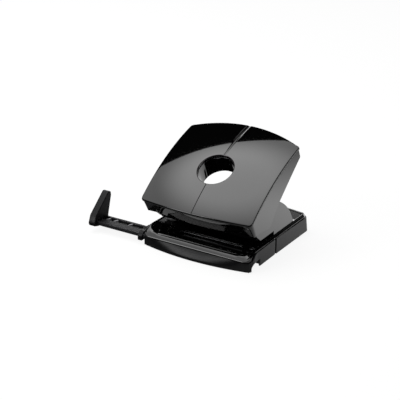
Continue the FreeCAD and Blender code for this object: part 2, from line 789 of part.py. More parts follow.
def make_cheek(label, side):
    """Fan-shaped housing cheek over the closed end of the slot."""
    body = new_body(label)
    fan = [("stop_y", "slot_floor"), ("fan_rear", "slot_floor", "fan_radius"),
           ("stop_y + fan_shoulder", "cover_top", "fan_radius"),
           ("stop_y + cheek_crest_reach", "cheek_top - cheek_crest_drop"),
           ("pivot_y + cheek_crown_reach", "cheek_top"),
           ("pivot_y + cheek_brow_reach", "cheek_top - cheek_brow_drop"),
           ("pivot_y - cheek_nose_reach", "cheek_top - cheek_nose_drop"),
           ("pivot_y - cheek_chin_reach", "cheek_low + cheek_chin_rise"),
           ("pivot_y + cheek_toe_reach", "cheek_low"), ("stop_y", "cheek_low")]
    place = "%s(cheek_outer - cheek_thickness / 2)" % side
    prism(body, "Pad", "YZ_Plane", fan, "cheek_thickness", place)


def make_mechanism_cover():
    """Curved cover between the cheeks, behind the paper stop."""
    body = new_body("mechanism_cover")
    foot_clear = "slot_floor + guide_thickness + side_gap"
    outer = [("inner_cover_front", foot_clear), ("foot_rear + side_gap", foot_clear),
             ("foot_rear + side_gap", "slot_floor"), ("fan_rear", "slot_floor", "fan_radius"),
             ("stop_y + fan_shoulder", "cover_top - inner_cover_brow_drop"),
             ("stop_y + inner_cover_brow_reach", "cover_top"),
             ("inner_cover_front + inner_cover_chamfer_length", "cover_top"),
             ("inner_cover_front", "cover_top - inner_cover_chamfer")]
    prism(body, "Pad", "YZ_Plane", outer, "inner_cover_half * 2")
    room_front = "inner_cover_front + inner_cover_wall"
    room_rear = "fan_rear - inner_cover_rear_wall"
    inner = [(room_front, "slot_floor - overcut"), (room_rear, "slot_floor - overcut"),
             (room_rear, "slot_floor", "fan_radius"),
             ("stop_y + inner_room_reach", "cover_top - inner_cover_roof"),
             (room_front, "cover_top - inner_cover_roof")]
    prism(body, "Pocket", "YZ_Plane", inner, "(inner_cover_half - inner_cover_wall) * 2")


def make_axle():
    body = new_body("axle")
    rounds(body, "Pad", "YZ_Plane", [("pivot_y", "pivot_z")], "axle_diameter", "axle_half * 2")
    for side in ("-", ""):
        place = side + "(yoke_ear_outer + clip_gap + clip_thickness / 2)"
        ring = new_sketch(body, "YZ_Plane", place)
        rings = ("axle_diameter + overcut * 2", "axle_diameter - clip_groove_depth * 2")
        for index, diameter in enumerate(rings):
            spot = FreeCAD.Vector(number("pivot_y"), number("pivot_z"), 0)
            circle = Part.Circle(spot, FreeCAD.Vector(0, 0, 1), number(diameter) / 2)
            ring.addGeometry(circle, False)
            bind(ring, "DistanceX", (-1, 1, index, 3), "pivot_y")
            bind(ring, "DistanceY", (-1, 1, index, 3), "pivot_z")
            bind(ring, "Diameter", (index,), diameter)
        extrude(body, "Pocket", ring, "clip_thickness")


def turned_cylinder(diameter, length, place, quarter):
    """Cylinder along X, starting at place."""
    part = cylinder(diameter, length, place)
    part.Placement = FreeCAD.Placement(part.Placement.Base, FreeCAD.Rotation(quarter, 90))
    for axis, formula in zip("xyz", place):
        part.setExpression("Placement.Base." + axis, bound(formula))
    return part


def make_axle_clips():
    along_x = FreeCAD.Vector(0, 1, 0)
    clips = []
    inner = "yoke_ear_outer + clip_gap"
    for left in ("-(%s) - clip_thickness" % inner, inner):
        place = (left, "pivot_y", "pivot_z")
        disc = turned_cylinder("clip_diameter", "clip_thickness", place, along_x)
        bore = turned_cylinder("axle_diameter - clip_groove_depth * 2", "clip_thickness", place, along_x)
        ring = boolean("Cut", "ring", disc, bore)
        mouth = doc.addObject("Part::Box", "mouth")
        mouth.setExpression("Length", bound("clip_thickness"))
        mouth.setExpression("Width", bound("clip_mouth"))
        mouth.setExpression("Height", bound("clip_diameter"))
        mouth.setExpression("Placement.Base.x", bound(left))
        mouth.setExpression("Placement.Base.y", bound("pivot_y - clip_mouth / 2"))
        mouth.setExpression("Placement.Base.z", bound("pivot_z"))
        clips.append(boolean("Cut", "clip", ring, mouth))
    group("axle_clips", clips)


def make_pins():
    for name, side in (("left", "-"), ("right", "")):
        place = side + "pin_x"
        pin = new_body("punch_pin_" + name)
        middle, length = span("pin_tip", "pin_head_low")
        rounds(pin, "Pad", "XY_Plane", [(place, "pin_y")], "pin_diameter", length, middle)
        # hollow-ground cutting end, lowest at its two edges
        near = "pin_y - pin_diameter / 2 + pin_edge"
        far = "pin_y + pin_diameter / 2 - pin_edge"
        prism(pin, "Pocket", "YZ_Plane", [
            (near, "pin_tip - overcut"), (far, "pin_tip - overcut"), (far, "pin_tip"),
            ("pin_y", "pin_tip + pin_grind"), (near, "pin_tip")], "pin_diameter * 2", place)
        head = new_body("pin_head_" + name)
        middle, length = span("pin_head_low", "pin_top")
        rounds(head, "Pad", "XY_Plane", [(place, "pin_y")], "pin_head_diameter", length, middle)
        make_spring("return_spring_" + name, place)


def make_spring(label, place):
    """Coil spring round the pin, between the guide plate and the pin's head."""
    body = new_body(label)
    sketch = new_sketch(body, "XZ_Plane", "0")
    radius = "(spring_diameter - spring_wire) / 2"
    centre = FreeCAD.Vector(number(radius), 0, 0)
    sketch.addGeometry(Part.Circle(centre, FreeCAD.Vector(0, 0, 1), number("spring_wire / 2")), False)
    bind(sketch, "DistanceX", (-1, 1, 0, 3), radius)
    bind(sketch, "DistanceY", (-1, 1, 0, 3), "0")
    bind(sketch, "Diameter", (0,), "spring_wire")
    coil = body.newObject("PartDesign::AdditiveHelix", "coil")
    coil.Profile = sketch
    coil.ReferenceAxis = (sketch, ["V_Axis"])
    coil.Mode = 1
    height = "pin_head_low - guide_top - spring_wire - 2 * running_clearance"
    coil.setExpression("Height", bound(height))
    coil.setExpression("Pitch", bound("(%s) / spring_turns" % height))
    coil.LeftHanded = False
    sketch.Visibility = False
    body.setExpression("Placement.Base.x", bound(place))
    body.setExpression("Placement.Base.y", bound("pin_y"))
    body.setExpression("Placement.Base.z", bound("guide_top + spring_wire / 2 + running_clearance"))


def crowned_block(label, depth, bottom):
    """Solid under the cover's doubly curved top: the long profile is an arc, turned about
    a line parallel to the chord. Depth is how far its top lies under the cover's top."""
    body = doc.addObject("PartDesign::Body", label)
    sketch = new_sketch(body, "YZ_Plane", "0")
    reach = "(handle_length / 2 + block_margin)"
    radius = "(profile_radius - (%s))" % depth
    edge = "handle_sag - profile_radius + sqrt(%s^2 - %s^2)" % (radius, reach)
    draw_outline(sketch, [("-" + reach, bottom), (reach, bottom), (reach, edge, radius),
                          ("-" + reach, edge)])
    axis_z = "handle_sag - crown_radius"
    ends = [FreeCAD.Vector(number(sign + reach), number(axis_z), 0) for sign in ("-", "")]
    line = sketch.addGeometry(Part.LineSegment(*ends), True)
    for vertex, sign in ((1, "-"), (2, "")):
        bind(sketch, "DistanceX", (-1, 1, line, vertex), sign + reach)
        bind(sketch, "DistanceY", (-1, 1, line, vertex), axis_z)
    turn = body.newObject("PartDesign::Revolution", "crown")
    turn.Profile = sketch
    turn.ReferenceAxis = (sketch, ["Axis0"])
    turn.Midplane = True
    turn.setExpression("Angle", bound(
        "2 * asin((handle_width / 2 + block_side_margin) / (crown_radius - crown_reserve))"))
    sketch.Visibility = False
    return body


def handle_plan(inset):
    """Plan outline of the handle in its own frame, bowed at the lip and at the tail."""
    side = "(handle_width / 2 - %s)" % inset
    turn = "handle_corner"
    half = "(%s - %s)" % (side, turn)
    lip, tail = "lip_side + %s" % inset, "tail_side - %s" % inset
    lip_radius = "(%s^2 + lip_bow^2) / (2 * lip_bow)" % half
    tail_radius = "(%s^2 + tail_bow^2) / (2 * tail_bow)" % half
    return [("-" + half, lip, lip_radius), (half, lip, turn),
            (side, "%s + %s" % (lip, turn)), (side, "%s - %s" % (tail, turn), turn),
            (half, tail, tail_radius), ("-" + half, tail, turn),
            ("-" + side, "%s - %s" % (tail, turn)), ("-" + side, "%s + %s" % (lip, turn), turn)]


def handle_prism(label, inset):
    body = doc.addObject("PartDesign::Body", label)
    prism(body, "Pad", "XY_Plane", handle_plan(inset), "beyond * 4")
    return body


def hollow_plan(inset):
    """Plan outline of the room inside the shell: bowed at the lip, open at the tail."""
    half = "(handle_width / 2 - (%s))" % inset
    lip = "lip_side + %s" % inset
    lip_radius = "(%s^2 + lip_bow^2) / (2 * lip_bow)" % half
    return [("-" + half, lip, lip_radius), (half, lip), (half, "handle_length"),
            ("-" + half, "handle_length")]


def make_handle_cover():
    """Crowned glossy cover with the finger hole and the centre groove."""
    upper = crowned_block("cover_top_block", "0", "-beyond / 2")
    lower = crowned_block("cover_low_block", "cover_thickness", "-beyond / 2")
    skin = boolean("Cut", "cover_skin", upper, lower)
    plate = boolean("Common", "cover_plate", skin, handle_prism("cover_plan", "0"))
    tools = doc.addObject("PartDesign::Body", "cover_openings")
    rounds(tools, "Pad", "XY_Plane", [("0", "hole_place")], "hole_diameter", "beyond * 2")
    # the groove runs the whole length, as a shallow cut that follows the arc
    radius, reach = "(profile_radius - groove_depth)", "(handle_length / 2 + block_margin)"
    drop = "handle_sag - profile_radius + sqrt(%s^2 - %s^2)" % (radius, reach)
    prism(tools, "Pad", "YZ_Plane", [
        (reach, "beyond / 2"), ("-" + reach, "beyond / 2"), ("-" + reach, drop, radius, True),
        (reach, drop)], "groove_width")
    cover = boolean("Cut", "handle_cover", plate, tools)
    cover.Label = "handle_cover"
    in_handle_frame(cover)
    nodes.append(cover)


def make_handle_shell():
    """Shell under the cover: side walls, front wall, skin, tube of the hole, bosses."""
    front_top, front_low = "lip_side - lip_bow + cover_reveal", "lip_side - chin_setback"
    contour = [(front_top, "-brow_drop"), (front_low, "-chin_drop")]
    for spot in ("jaw", "throat", "belly_front", "belly", "belly_rear", "flank", "waist", "slope"):
        contour.append(("lip_side + %s_along" % spot, "-%s_drop" % spot))
    contour += [("tail_side + heel_reach", "-heel_drop"), ("tail_side + tail_reach", "-tail_drop"),
                ("tail_side + tail_reach", "beyond"), (front_top, "beyond")]
    side = doc.addObject("PartDesign::Body", "shell_side")
    prism(side, "Pad", "YZ_Plane", contour, "shell_half * 2")
    whole = boolean("Common", "shell_whole", side, handle_prism("shell_plan", "cover_reveal"))
    block = boolean("Common", "shell_block", whole,
                    crowned_block("shell_top_block", "shell_depth", "-beyond"))
    hollow = doc.addObject("PartDesign::Body", "shell_hollow")
    prism(hollow, "Pad", "YZ_Plane", [
        (front_top + " + shell_wall", "-brow_drop"), (front_low + " + shell_wall", "-chin_drop"),
        (front_low + " + shell_wall", "-beyond * 2"), ("handle_length", "-beyond * 2"),
        ("handle_length", "beyond"), (front_top + " + shell_wall", "beyond")], "handle_width")
    room = doc.addObject("PartDesign::Body", "shell_room")
    prism(room, "Pad", "XY_Plane", hollow_plan("cover_reveal + shell_wall"), "beyond * 5")
    inner = boolean("Common", "shell_inner", hollow, room)
    inside = boolean("Common", "shell_inside", inner,
                     crowned_block("shell_low_block", "shell_depth + shell_skin", "-beyond * 2"))
    walls = boolean("Cut", "shell_walls", block, inside)
    posts = doc.addObject("PartDesign::Body", "shell_posts")
    seat = "handle_sag - shell_depth - shell_skin"
    middle, length = span("handle_sag - shell_depth - tube_length", seat)
    rounds(posts, "Pad", "XY_Plane", [("0", "hole_place")], "tube_outer", length, middle)
    rounds(posts, "Pocket", "XY_Plane", [("0", "hole_place")], "hole_diameter", "beyond * 2", middle)
    holed = boolean("Cut", "shell_holed", walls, shell_bore())
    with_tube = boolean("Fuse", "shell_tube", holed, posts)
    bosses = [with_tube]
    # the bosses of the lever screws end half-way through the skin
    under_skin = crowned_block("shell_middle_block", "shell_depth + shell_skin / 2", "-beyond")
    for across in ("-lever_screw_place", "lever_screw_place"):
        rod = cylinder("lever_boss_diameter", "handle_sag - web_top",
                       (across, "lever_screw_along", "web_top"))
        bore = cylinder("lever_screw_diameter", "lever_bore_depth + overcut",
                        (across, "lever_screw_along", "web_top - overcut"))
        boss = boolean("Common", "shell_boss", rod, under_skin)
        bosses.append(boolean("Cut", "shell_boss", boss, bore))
    shell = doc.addObject("Part::MultiFuse", "handle_shell")
    shell.Label = "handle_shell"
    shell.Shapes = bosses
    in_handle_frame(shell)
    nodes.append(shell)


def shell_bore():
    body = doc.addObject("PartDesign::Body", "shell_bore")
    rounds(body, "Pad", "XY_Plane", [("0", "hole_place")], "hole_diameter", "beyond * 2")
    return body


def make_lever_yoke():
    """Folded steel yoke: two ears on the axle and a web screwed under the shell."""
    body = new_body("lever_yoke")
    slab(body, "Pad", "-yoke_ear_place", "yoke_ear_place", "web_front", "web_end",
         "-yoke_web_drop", "web_top")
    ear = [("web_front", "-yoke_web_drop - yoke_toe"),
           ("pivot_along - yoke_ear_half", "pivot_out - yoke_ear_half"),
           ("pivot_along + yoke_ear_half", "pivot_out - yoke_ear_half"),
           ("bar_along + yoke_bar_margin", "bar_out - yoke_bar_under"),
           ("bar_along + yoke_bar_margin", "bar_out + yoke_bar_over"),
           ("web_end", "web_top"), ("web_front", "web_top")]
    for side in ("-", ""):
        prism(body, "Pad", "YZ_Plane", ear, "yoke_ear_thickness", side + "yoke_ear_place")
    rounds(body, "Pocket", "YZ_Plane", [("pivot_along", "pivot_out")],
           "axle_hole + 2 * bush_wall", "yoke_ear_place * 3")
    rounds(body, "Pocket", "YZ_Plane", [("bar_along", "bar_out")], "bar_diameter", "yoke_ear_place * 3")
    rounds(body, "Pocket", "XY_Plane", [("-lever_screw_place", "lever_screw_along"),
                                        ("lever_screw_place", "lever_screw_along")],
           "lever_screw_diameter", "yoke_web_thickness * 4", "web_top")
    in_handle_frame(body)


def make_press_bar():
    body = new_body("press_bar")
    rounds(body, "Pad", "YZ_Plane", [("pin_y", "bar_z")], "bar_diameter",
           "yoke_ear_outer * 2")


def make_lever_bushings():
    along_x = FreeCAD.Vector(0, 1, 0)
    bushes = []
    inner = "yoke_ear_place - yoke_ear_thickness / 2"
    for left in ("-(%s) - yoke_ear_thickness" % inner, inner):
        place = (left, "pivot_y", "pivot_z")
        sleeve = turned_cylinder("axle_hole + 2 * bush_wall", "yoke_ear_thickness", place, along_x)
        bore = turned_cylinder("axle_hole", "yoke_ear_thickness", place, along_x)
        bushes.append(boolean("Cut", "bush", sleeve, bore))
    group("lever_bushings", bushes)


def make_lever_screws():
    screws = [screw("lever_screw_diameter", "yoke_web_thickness + lever_screw_grip",
                    (side + "lever_screw_place", "lever_screw_along", "-yoke_web_drop"), False)
              for side in ("-", "")]
    in_handle_frame(group("lever_screws", screws))


def make_guide_rail():
    """Flat rail with rounded long edges and a channel for its marks."""
    body = new_body("guide_rail")
    prism(body, "Pad", "YZ_Plane", [
        ("rail_front + rail_edge", "rail_low"), ("rail_rear - rail_edge", "rail_low"),
        ("rail_rear", "rail_low + rail_edge"), ("rail_rear", "rail_top - rail_edge"),
        ("rail_rear - rail_edge", "rail_top"), ("rail_front + rail_edge", "rail_top"),
        ("rail_front", "rail_top - rail_edge"), ("rail_front", "rail_low + rail_edge")],
        "rail_length", "rail_middle")
    slab(body, "Pocket", "-rail_left + channel_left_margin",
         "rail_length - rail_left - channel_right_margin", "channel_front",
         "channel_front + channel_width", "rail_top - channel_depth", "rail_top + overcut")
    rounds(body, "Pocket", "XY_Plane", [stop_screw_centre()], "stop_screw_diameter",
           "(stop_screw_length - rail_low + stop_low) * 2", "rail_low")


def make_rail_marks():
    """Raised bars of the format scale, in the rail's channel."""
    marks = []
    for step in (0, 1, 3, 5, 6, 8, 9, 11):
        bar = doc.addObject("Part::Box", "mark")
        bar.setExpression("Length", bound("mark_length"))
        bar.setExpression("Width", bound("mark_width"))
        bar.setExpression("Height", bound("mark_height"))
        bar.setExpression("Placement.Base.x", bound("-mark_first + mark_pitch * %d" % step))
        bar.setExpression("Placement.Base.y", bound("channel_front + (channel_width - mark_width) / 2"))
        bar.setExpression("Placement.Base.z", bound("rail_top - channel_depth"))
        marks.append(bar)
    group("rail_marks", marks)


def make_rail_stop():
    """Fin at the rail's left end: it leans rearwards, tapers upwards and takes the rail's end
    in its foot."""
    body = new_body("rail_stop")
    front = "rail_front - stop_front_wall"
    rear = "rail_rear + stop_rear_wall"
    outer = "-stop_face - stop_thickness"
    prism(body, "Pad", "YZ_Plane", [
        (front, "stop_low"), (rear, "stop_low"), (rear, "rail_top + stop_foot_rise"),
        (rear + " + stop_lean", "stop_rear_shoulder"),
        (rear + " + stop_lean - stop_corner", "stop_top"),
        (rear + " + stop_lean - stop_corner - stop_top_width", "stop_top"),
        (front, "stop_shoulder")],
        "stop_thickness", "-(stop_face + stop_thickness / 2)")
    prism(body, "Pocket", "XZ_Plane", [
        (outer + " - overcut", "stop_shoulder"), (outer, "stop_shoulder"),
        (outer + " + stop_taper", "stop_top"), (outer + " + stop_taper", "stop_top + overcut"),
        (outer + " - overcut", "stop_top + overcut")],
        "through_cut")
    slab(body, "Pocket", "-rail_left", "-stop_face + overcut", "rail_front", "rail_rear",
         "rail_low", "rail_top")
    rounds(body, "Pocket", "XY_Plane", [stop_screw_centre()], "stop_screw_diameter",
           "(rail_low - stop_low) * 2", "stop_low")


def stop_screw_centre():
    return ("-stop_face - stop_screw_reach", "(rail_front + rail_rear) / 2")


def make_stop_screw():
    across, along = stop_screw_centre()
    group("stop_screw", [screw("stop_screw_diameter", "stop_screw_length",
                               (across, along, "stop_low"), False)])


def make_rail_collar():
    """Collar round the rail's way out, on the left wall of the base."""
    body = new_body("rail_collar")
    front, rear = "base_front + collar_front_gap", "tunnel_rear + collar_wall"
    place, length = span("-half_width - collar_length", "-half_width")
    prism(body, "Pad", "YZ_Plane", [
        (front, "collar_low"), (rear, "collar_low"), (rear, "collar_top - collar_corner"),
        (rear + " - collar_corner", "collar_top"), (front + " + collar_slope_length", "collar_top"),
        (front, "collar_top - collar_slope_drop")],
        length, place)
    slab(body, "Pocket", "-half_width - beyond", "-half_width + overcut", "tunnel_front",
         "tunnel_rear", "tunnel_low", "tunnel_top")
    slab(body, "Pocket", *window_box("window_thickness"))


def window_box(depth):
    middle = "-half_width - collar_length / 2"
    return ["%s - window_length / 2" % middle, "%s + window_length / 2" % middle,
            "channel_front - window_setback", "channel_front - window_setback + window_width",
            "collar_top - %s" % depth, "collar_top"]


def make_rail_window():
    body = new_body("rail_window")
    slab(body, "Pad", *window_box("window_thickness"))


def make_detent_spring():
    """Bent leaf under the rail; its crown presses on the rail's underside."""
    body = new_body("detent_spring")
    left, right = "-detent_place - detent_length / 2", "-detent_place + detent_length / 2"
    crown_left, crown_right = "-detent_place + detent_crown_start", "-detent_place + detent_crown_end"
    crown = "rail_low - running_clearance"
    thick = "detent_thickness"
    foot = "floor_top"
    prism(body, "Pad", "XZ_Plane", [
        (left, foot), (left + " + detent_foot", foot), (crown_left, crown + " - " + thick),
        (crown_right, crown + " - " + thick), (right, foot + " + detent_toe_gap"),
        (right, foot + " + detent_toe_gap + " + thick), (crown_right, crown), (crown_left, crown),
        (left + " + detent_foot", foot + " + " + thick), (left, foot + " + " + thick)],
        "detent_width", "(rail_front + rail_rear) / 2")


def make_chip_tray():
    """Rear part of the skirt and the tray that catches the chips, hinged at its nose."""
    body = new_body("chip_tray")
    middle, height = span("ground_gap", "skirt_rear_top")
    prism(body, "Pad", "XY_Plane", bowed_rear("0", "tray_front"), height, middle)
    slab(body, "Pad", "-tray_nose_half", "tray_nose_half", "nose_front", "tray_front + overcut",
         "tray_floor", "tray_nose_top")
    slab(body, "Pocket", "-tray_nose_half + tray_wall", "tray_nose_half - tray_wall",
         "nose_front + tray_wall", "tray_front + tray_open_reach", "tray_floor_top",
         "skirt_rear_top + overcut")
    hollow_middle, hollow = span("tray_floor_top", "skirt_rear_top + overcut")
    prism(body, "Pocket", "XY_Plane", bowed_rear("skirt_wall", "tray_front + tray_wall"),
          hollow, hollow_middle)
    # recess under the floor, which the mat fills in part
    prism(body, "Pocket", "XY_Plane", bowed_rear("skirt_wall", "tray_front - tray_open_reach"),
          "(tray_floor - ground_gap) * 2", "ground_gap")
    place, length = span("tray_nose_half - tray_wall / 2", "tray_nose_half + peg_length")
    for side in ("-", ""):
        rounds(body, "Pad", "YZ_Plane", [("peg_y", "peg_z")], "peg_diameter", length,
               "%s(%s)" % (side, place))


def make_tray_mat():
    """Anti-slip mat under the tray; the table's face runs through the origin."""
    body = new_body("tray_mat")
    slab(body, "Pad", "-mat_width / 2", "mat_width / 2", "-mat_front", "mat_rear", "0", "tray_floor")


def check_and_write():
    doc.recompute()
    faults = []
    for thing in doc.Objects:
        if "Invalid" in thing.State or "Error" in thing.State:
            faults.append("%s: %s" % (thing.Name, thing.State))
    for node in nodes:
        shape = node.Shape
        if shape.isNull() or not shape.isValid() or not shape.Solids:
            faults.append("%s has no sound shape" % node.Label)
    if faults:
        raise RuntimeError("; ".join(faults))
    os.makedirs("parts", exist_ok=True)
    for node in nodes:
        node.Shape.exportStep(os.path.join("parts", node.Label + ".step"))
        print("%-22s %2d solid(s) %10.1f mm3" % (node.Label, len(node.Shape.Solids), node.Shape.Volume))


make_base_frame()
make_base_deck()
make_deck_screws()
make_front_feet()
make_die_plate()
make_punch_frame()
make_frame_screws()
make_cheek("side_cheek_left", "-")
make_cheek("side_cheek_right", "")
make_mechanism_cover()
make_axle()
make_axle_clips()
make_pins()
make_handle_cover()
make_handle_shell()
make_lever_yoke()
make_press_bar()
make_lever_bushings()
make_lever_screws()
make_guide_rail()
make_rail_marks()
make_rail_stop()
make_stop_screw()
make_rail_collar()
make_rail_window()
make_detent_spring()
make_chip_tray()
make_tray_mat()
check_and_write()
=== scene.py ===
import json
import math
import bmesh
import bpy
from mathutils import Matrix, Vector

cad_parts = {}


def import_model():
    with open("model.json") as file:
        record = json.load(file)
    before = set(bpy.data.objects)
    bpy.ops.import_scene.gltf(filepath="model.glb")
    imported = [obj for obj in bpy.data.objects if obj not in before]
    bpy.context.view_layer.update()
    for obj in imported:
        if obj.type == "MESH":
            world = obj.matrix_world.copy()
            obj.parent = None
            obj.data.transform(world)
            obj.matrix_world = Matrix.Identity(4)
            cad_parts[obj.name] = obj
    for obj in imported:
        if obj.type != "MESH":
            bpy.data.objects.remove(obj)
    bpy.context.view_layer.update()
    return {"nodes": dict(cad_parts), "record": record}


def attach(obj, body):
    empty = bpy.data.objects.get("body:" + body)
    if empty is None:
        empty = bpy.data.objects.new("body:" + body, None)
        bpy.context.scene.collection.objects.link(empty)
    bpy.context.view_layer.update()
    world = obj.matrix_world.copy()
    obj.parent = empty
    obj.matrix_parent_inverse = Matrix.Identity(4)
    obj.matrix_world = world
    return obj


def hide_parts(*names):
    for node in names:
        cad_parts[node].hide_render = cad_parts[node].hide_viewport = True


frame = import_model()
nodes = frame["nodes"]
mm = 0.001  # every size below is in millimetres
mergeGap = 0.002
print("frame loaded,", len(nodes), "nodes")

bpy.ops.object.select_all(action="DESELECT")


# ---- small helpers for working on the active piece

def clamp(value):
    return min(max(value, 0), 1)


def makeActive(obj):
    bpy.ops.object.select_all(action="DESELECT")
    obj.select_set(True)
    bpy.context.view_layer.objects.active = obj


def openEdit(kind="VERT"):
    bpy.ops.object.mode_set(mode="EDIT")
    bpy.ops.mesh.select_mode(type=kind)


def closeEdit():
    bpy.ops.object.mode_set(mode="OBJECT")


def pick(kind, test):
    # selects the active piece's points, edges or faces that pass the test
    mesh = bpy.context.object.data
    bpy.ops.mesh.select_mode(type=kind)
    bpy.ops.mesh.select_all(action="DESELECT")
    shape = bmesh.from_edit_mesh(mesh)
    items = {"VERT": shape.verts, "EDGE": shape.edges, "FACE": shape.faces}[kind]
    for item in items:
        if test(item):
            item.select_set(True)
    shape.select_flush_mode()
    bmesh.update_edit_mesh(mesh)


def middle(edge):
    return (edge.verts[0].co + edge.verts[1].co) / 2


def reshape(obj, rule):
    # moves each point of a piece to where the rule puts it, in millimetres
    for vert in obj.data.vertices:
        vert.co = Vector(rule(*(vert.co / mm))) * mm
    obj.data.update()


def modify(obj, kind, **settings):
    bpy.context.view_layer.objects.active = obj
    modifier = obj.modifiers.new(kind.title(), kind)
    for name, value in settings.items():
        setattr(modifier, name, value)
    bpy.ops.object.modifier_apply(modifier=modifier.name)


def roundEdges(obj, width, segments=3, angle=35):
    modify(obj, "BEVEL", width=width * mm, segments=segments, limit_method="ANGLE",
           angle_limit=math.radians(angle), harden_normals=False, miter_outer="MITER_ARC")


def newest(name):
    obj = bpy.context.object
    obj.name = name
    obj.data.name = name
    return obj


def smooth(obj, angle=35):
    makeActive(obj)
    bpy.ops.object.shade_smooth_by_angle(angle=math.radians(angle))
    modify(obj, "WEIGHTED_NORMAL", keep_sharp=True)


def joinPieces(name, pieces):
    bpy.ops.object.select_all(action="DESELECT")
    for piece in pieces:
        piece.select_set(True)
    bpy.context.view_layer.objects.active = pieces[0]
    bpy.ops.object.join()
    return newest(name)


def settle(obj):
    # puts a piece's turn and place into its mesh, with its faces outwards
    makeActive(obj)
    bpy.ops.object.transform_apply(location=True, rotation=True, scale=True)
    openEdit()
    bpy.ops.mesh.select_all(action="SELECT")
    bpy.ops.mesh.remove_doubles(threshold=mergeGap * mm)
    bpy.ops.mesh.normals_make_consistent(inside=False)
    closeEdit()


# ---- the handle, in its own frame: y along the chord, z out of the plate

handle = {
    "middleY": -11.15,
    "middleZ": 68.3,
    "pitch": 27.1,        # degrees
    "width": 109.2,
    "lipEnd": -53.75,
    "tailEnd": 54.7,
    "lipBow": 4.3,
    "tailBow": 10.2,
    "corner": 3.5,
    "profileRadius": 208.0,
    "crownRadius": 340.0,
    "holeY": -6.6,
    "holeDiameter": 32.1,
    "coverThickness": 2.2,
    "coverSeam": 0.6,
    "coverReveal": 0.6,
    "edgeRound": 0.9,
}
lipSide = handle["lipEnd"] + handle["lipBow"]
tailSide = handle["tailEnd"] - handle["tailBow"]
sideCuts = 33  # points between two corners of the plate's outline
endPart = 0.9  # only the last tenth of the length is bowed out


def arcDrop(radius, across):
    return radius - math.sqrt(radius ** 2 - across ** 2)


def crownHeight(x, y):
    sag = arcDrop(handle["profileRadius"], handle["lipEnd"])
    fall = arcDrop(handle["profileRadius"], y)
    return sag - fall - arcDrop(handle["crownRadius"] - fall, x)


def bowedOutline(inset):
    # flat outline of the handle: a plane with rounded corners, its ends bowed out
    halfWidth = handle["width"] / 2 - inset
    front, rear = lipSide + inset, tailSide - inset
    bpy.ops.mesh.primitive_plane_add(size=1, location=(0, (front + rear) / 2 * mm, 0))
    outline = newest("outline")
    outline.scale = (halfWidth * 2 * mm, (rear - front) * mm, 1)
    bpy.ops.object.transform_apply(location=True, rotation=True, scale=True)
    openEdit()
    bpy.ops.mesh.select_all(action="SELECT")
    bpy.ops.mesh.bevel(offset=handle["corner"] * mm, offset_pct=0, segments=6, affect="VERTICES")
    pick("EDGE", lambda edge: edge.calc_length() > 20 * mm)
    bpy.ops.mesh.subdivide(number_cuts=sideCuts)
    bpy.ops.mesh.select_all(action="SELECT")
    bpy.ops.mesh.delete(type="ONLY_FACE")
    closeEdit()

    def bow(x, y, z):
        flat = halfWidth - handle["corner"]
        across = min(abs(x), flat)
        share = clamp((y - front) / (rear - front))
        for size, part in ((-handle["lipBow"], 1 - share), (handle["tailBow"], share)):
            radius = (flat ** 2 + size ** 2) / (2 * abs(size))
            rise = abs(size) - arcDrop(radius, across)
            if part > endPart:
                y += math.copysign(rise, size) * (part - endPart) / (1 - endPart)
        return x, y, z

    reshape(outline, bow)
    return outline


def crownedPlate(name, inset, thickness, depth, edge, groove=None):
    plate = bowedOutline(inset)
    openEdit()
    count = len(plate.data.vertices)
    bpy.ops.mesh.primitive_circle_add(vertices=count, radius=handle["holeDiameter"] / 2 * mm,
                                      location=(0, handle["holeY"] * mm, 0))
    bpy.ops.mesh.select_all(action="SELECT")
    bpy.ops.mesh.bridge_edge_loops(number_cuts=15, interpolation="LINEAR")
    bpy.ops.mesh.normals_make_consistent(inside=False)
    closeEdit()
    modify(plate, "SOLIDIFY", thickness=thickness * mm, offset=-1, use_even_offset=True)
    if min(vert.co.z for vert in plate.data.vertices) > -0.5 * thickness * mm:
        reshape(plate, lambda x, y, z: (x, y, z - thickness))
    roundEdges(plate, edge, segments=5, angle=50)
    if groove:
        cutGroove(plate, groove)
    reshape(plate, lambda x, y, z: (x, y, z + crownHeight(x, y) - depth))
    plate.name = name
    return plate


def cutGroove(plate, groove):
    # narrow slit before the finger hole, wide shallow valley behind it
    for front, width, depth in groove:
        openEdit("EDGE")

        def onLine(edge):
            spot = middle(edge) / mm
            runs = abs(edge.verts[0].co.x) < 0.01 * mm and abs(edge.verts[1].co.x) < 0.01 * mm
            before = spot.y < handle["holeY"]
            return runs and spot.z > -handle["edgeRound"] and before == front

        pick("EDGE", onLine)
        bpy.ops.mesh.bevel(offset=width / 2 * mm, segments=4 if front else 3, profile=0.5,
                           affect="EDGES")
        closeEdit()
        for vert in plate.data.vertices:
            x, y, z = vert.co / mm
            if (y < handle["holeY"]) != front or z < -handle["edgeRound"]:
                continue
            if abs(x) < width * (0.3 if front else 0.2):
                vert.co.z -= depth * mm
    plate.data.update()


def placeOnHandle(obj):
    obj.rotation_euler = (math.radians(handle["pitch"]), 0, 0)
    obj.location = (0, handle["middleY"] * mm, handle["middleZ"] * mm)
    settle(obj)


coverPlate = crownedPlate("coverPlate", 0, handle["coverThickness"], 0, handle["edgeRound"],
                          groove=((True, 0.9, 0.6), (False, 3.2, 0.7)))
placeOnHandle(coverPlate)
smooth(coverPlate)
print("handle cover made:", len(coverPlate.data.polygons), "faces")


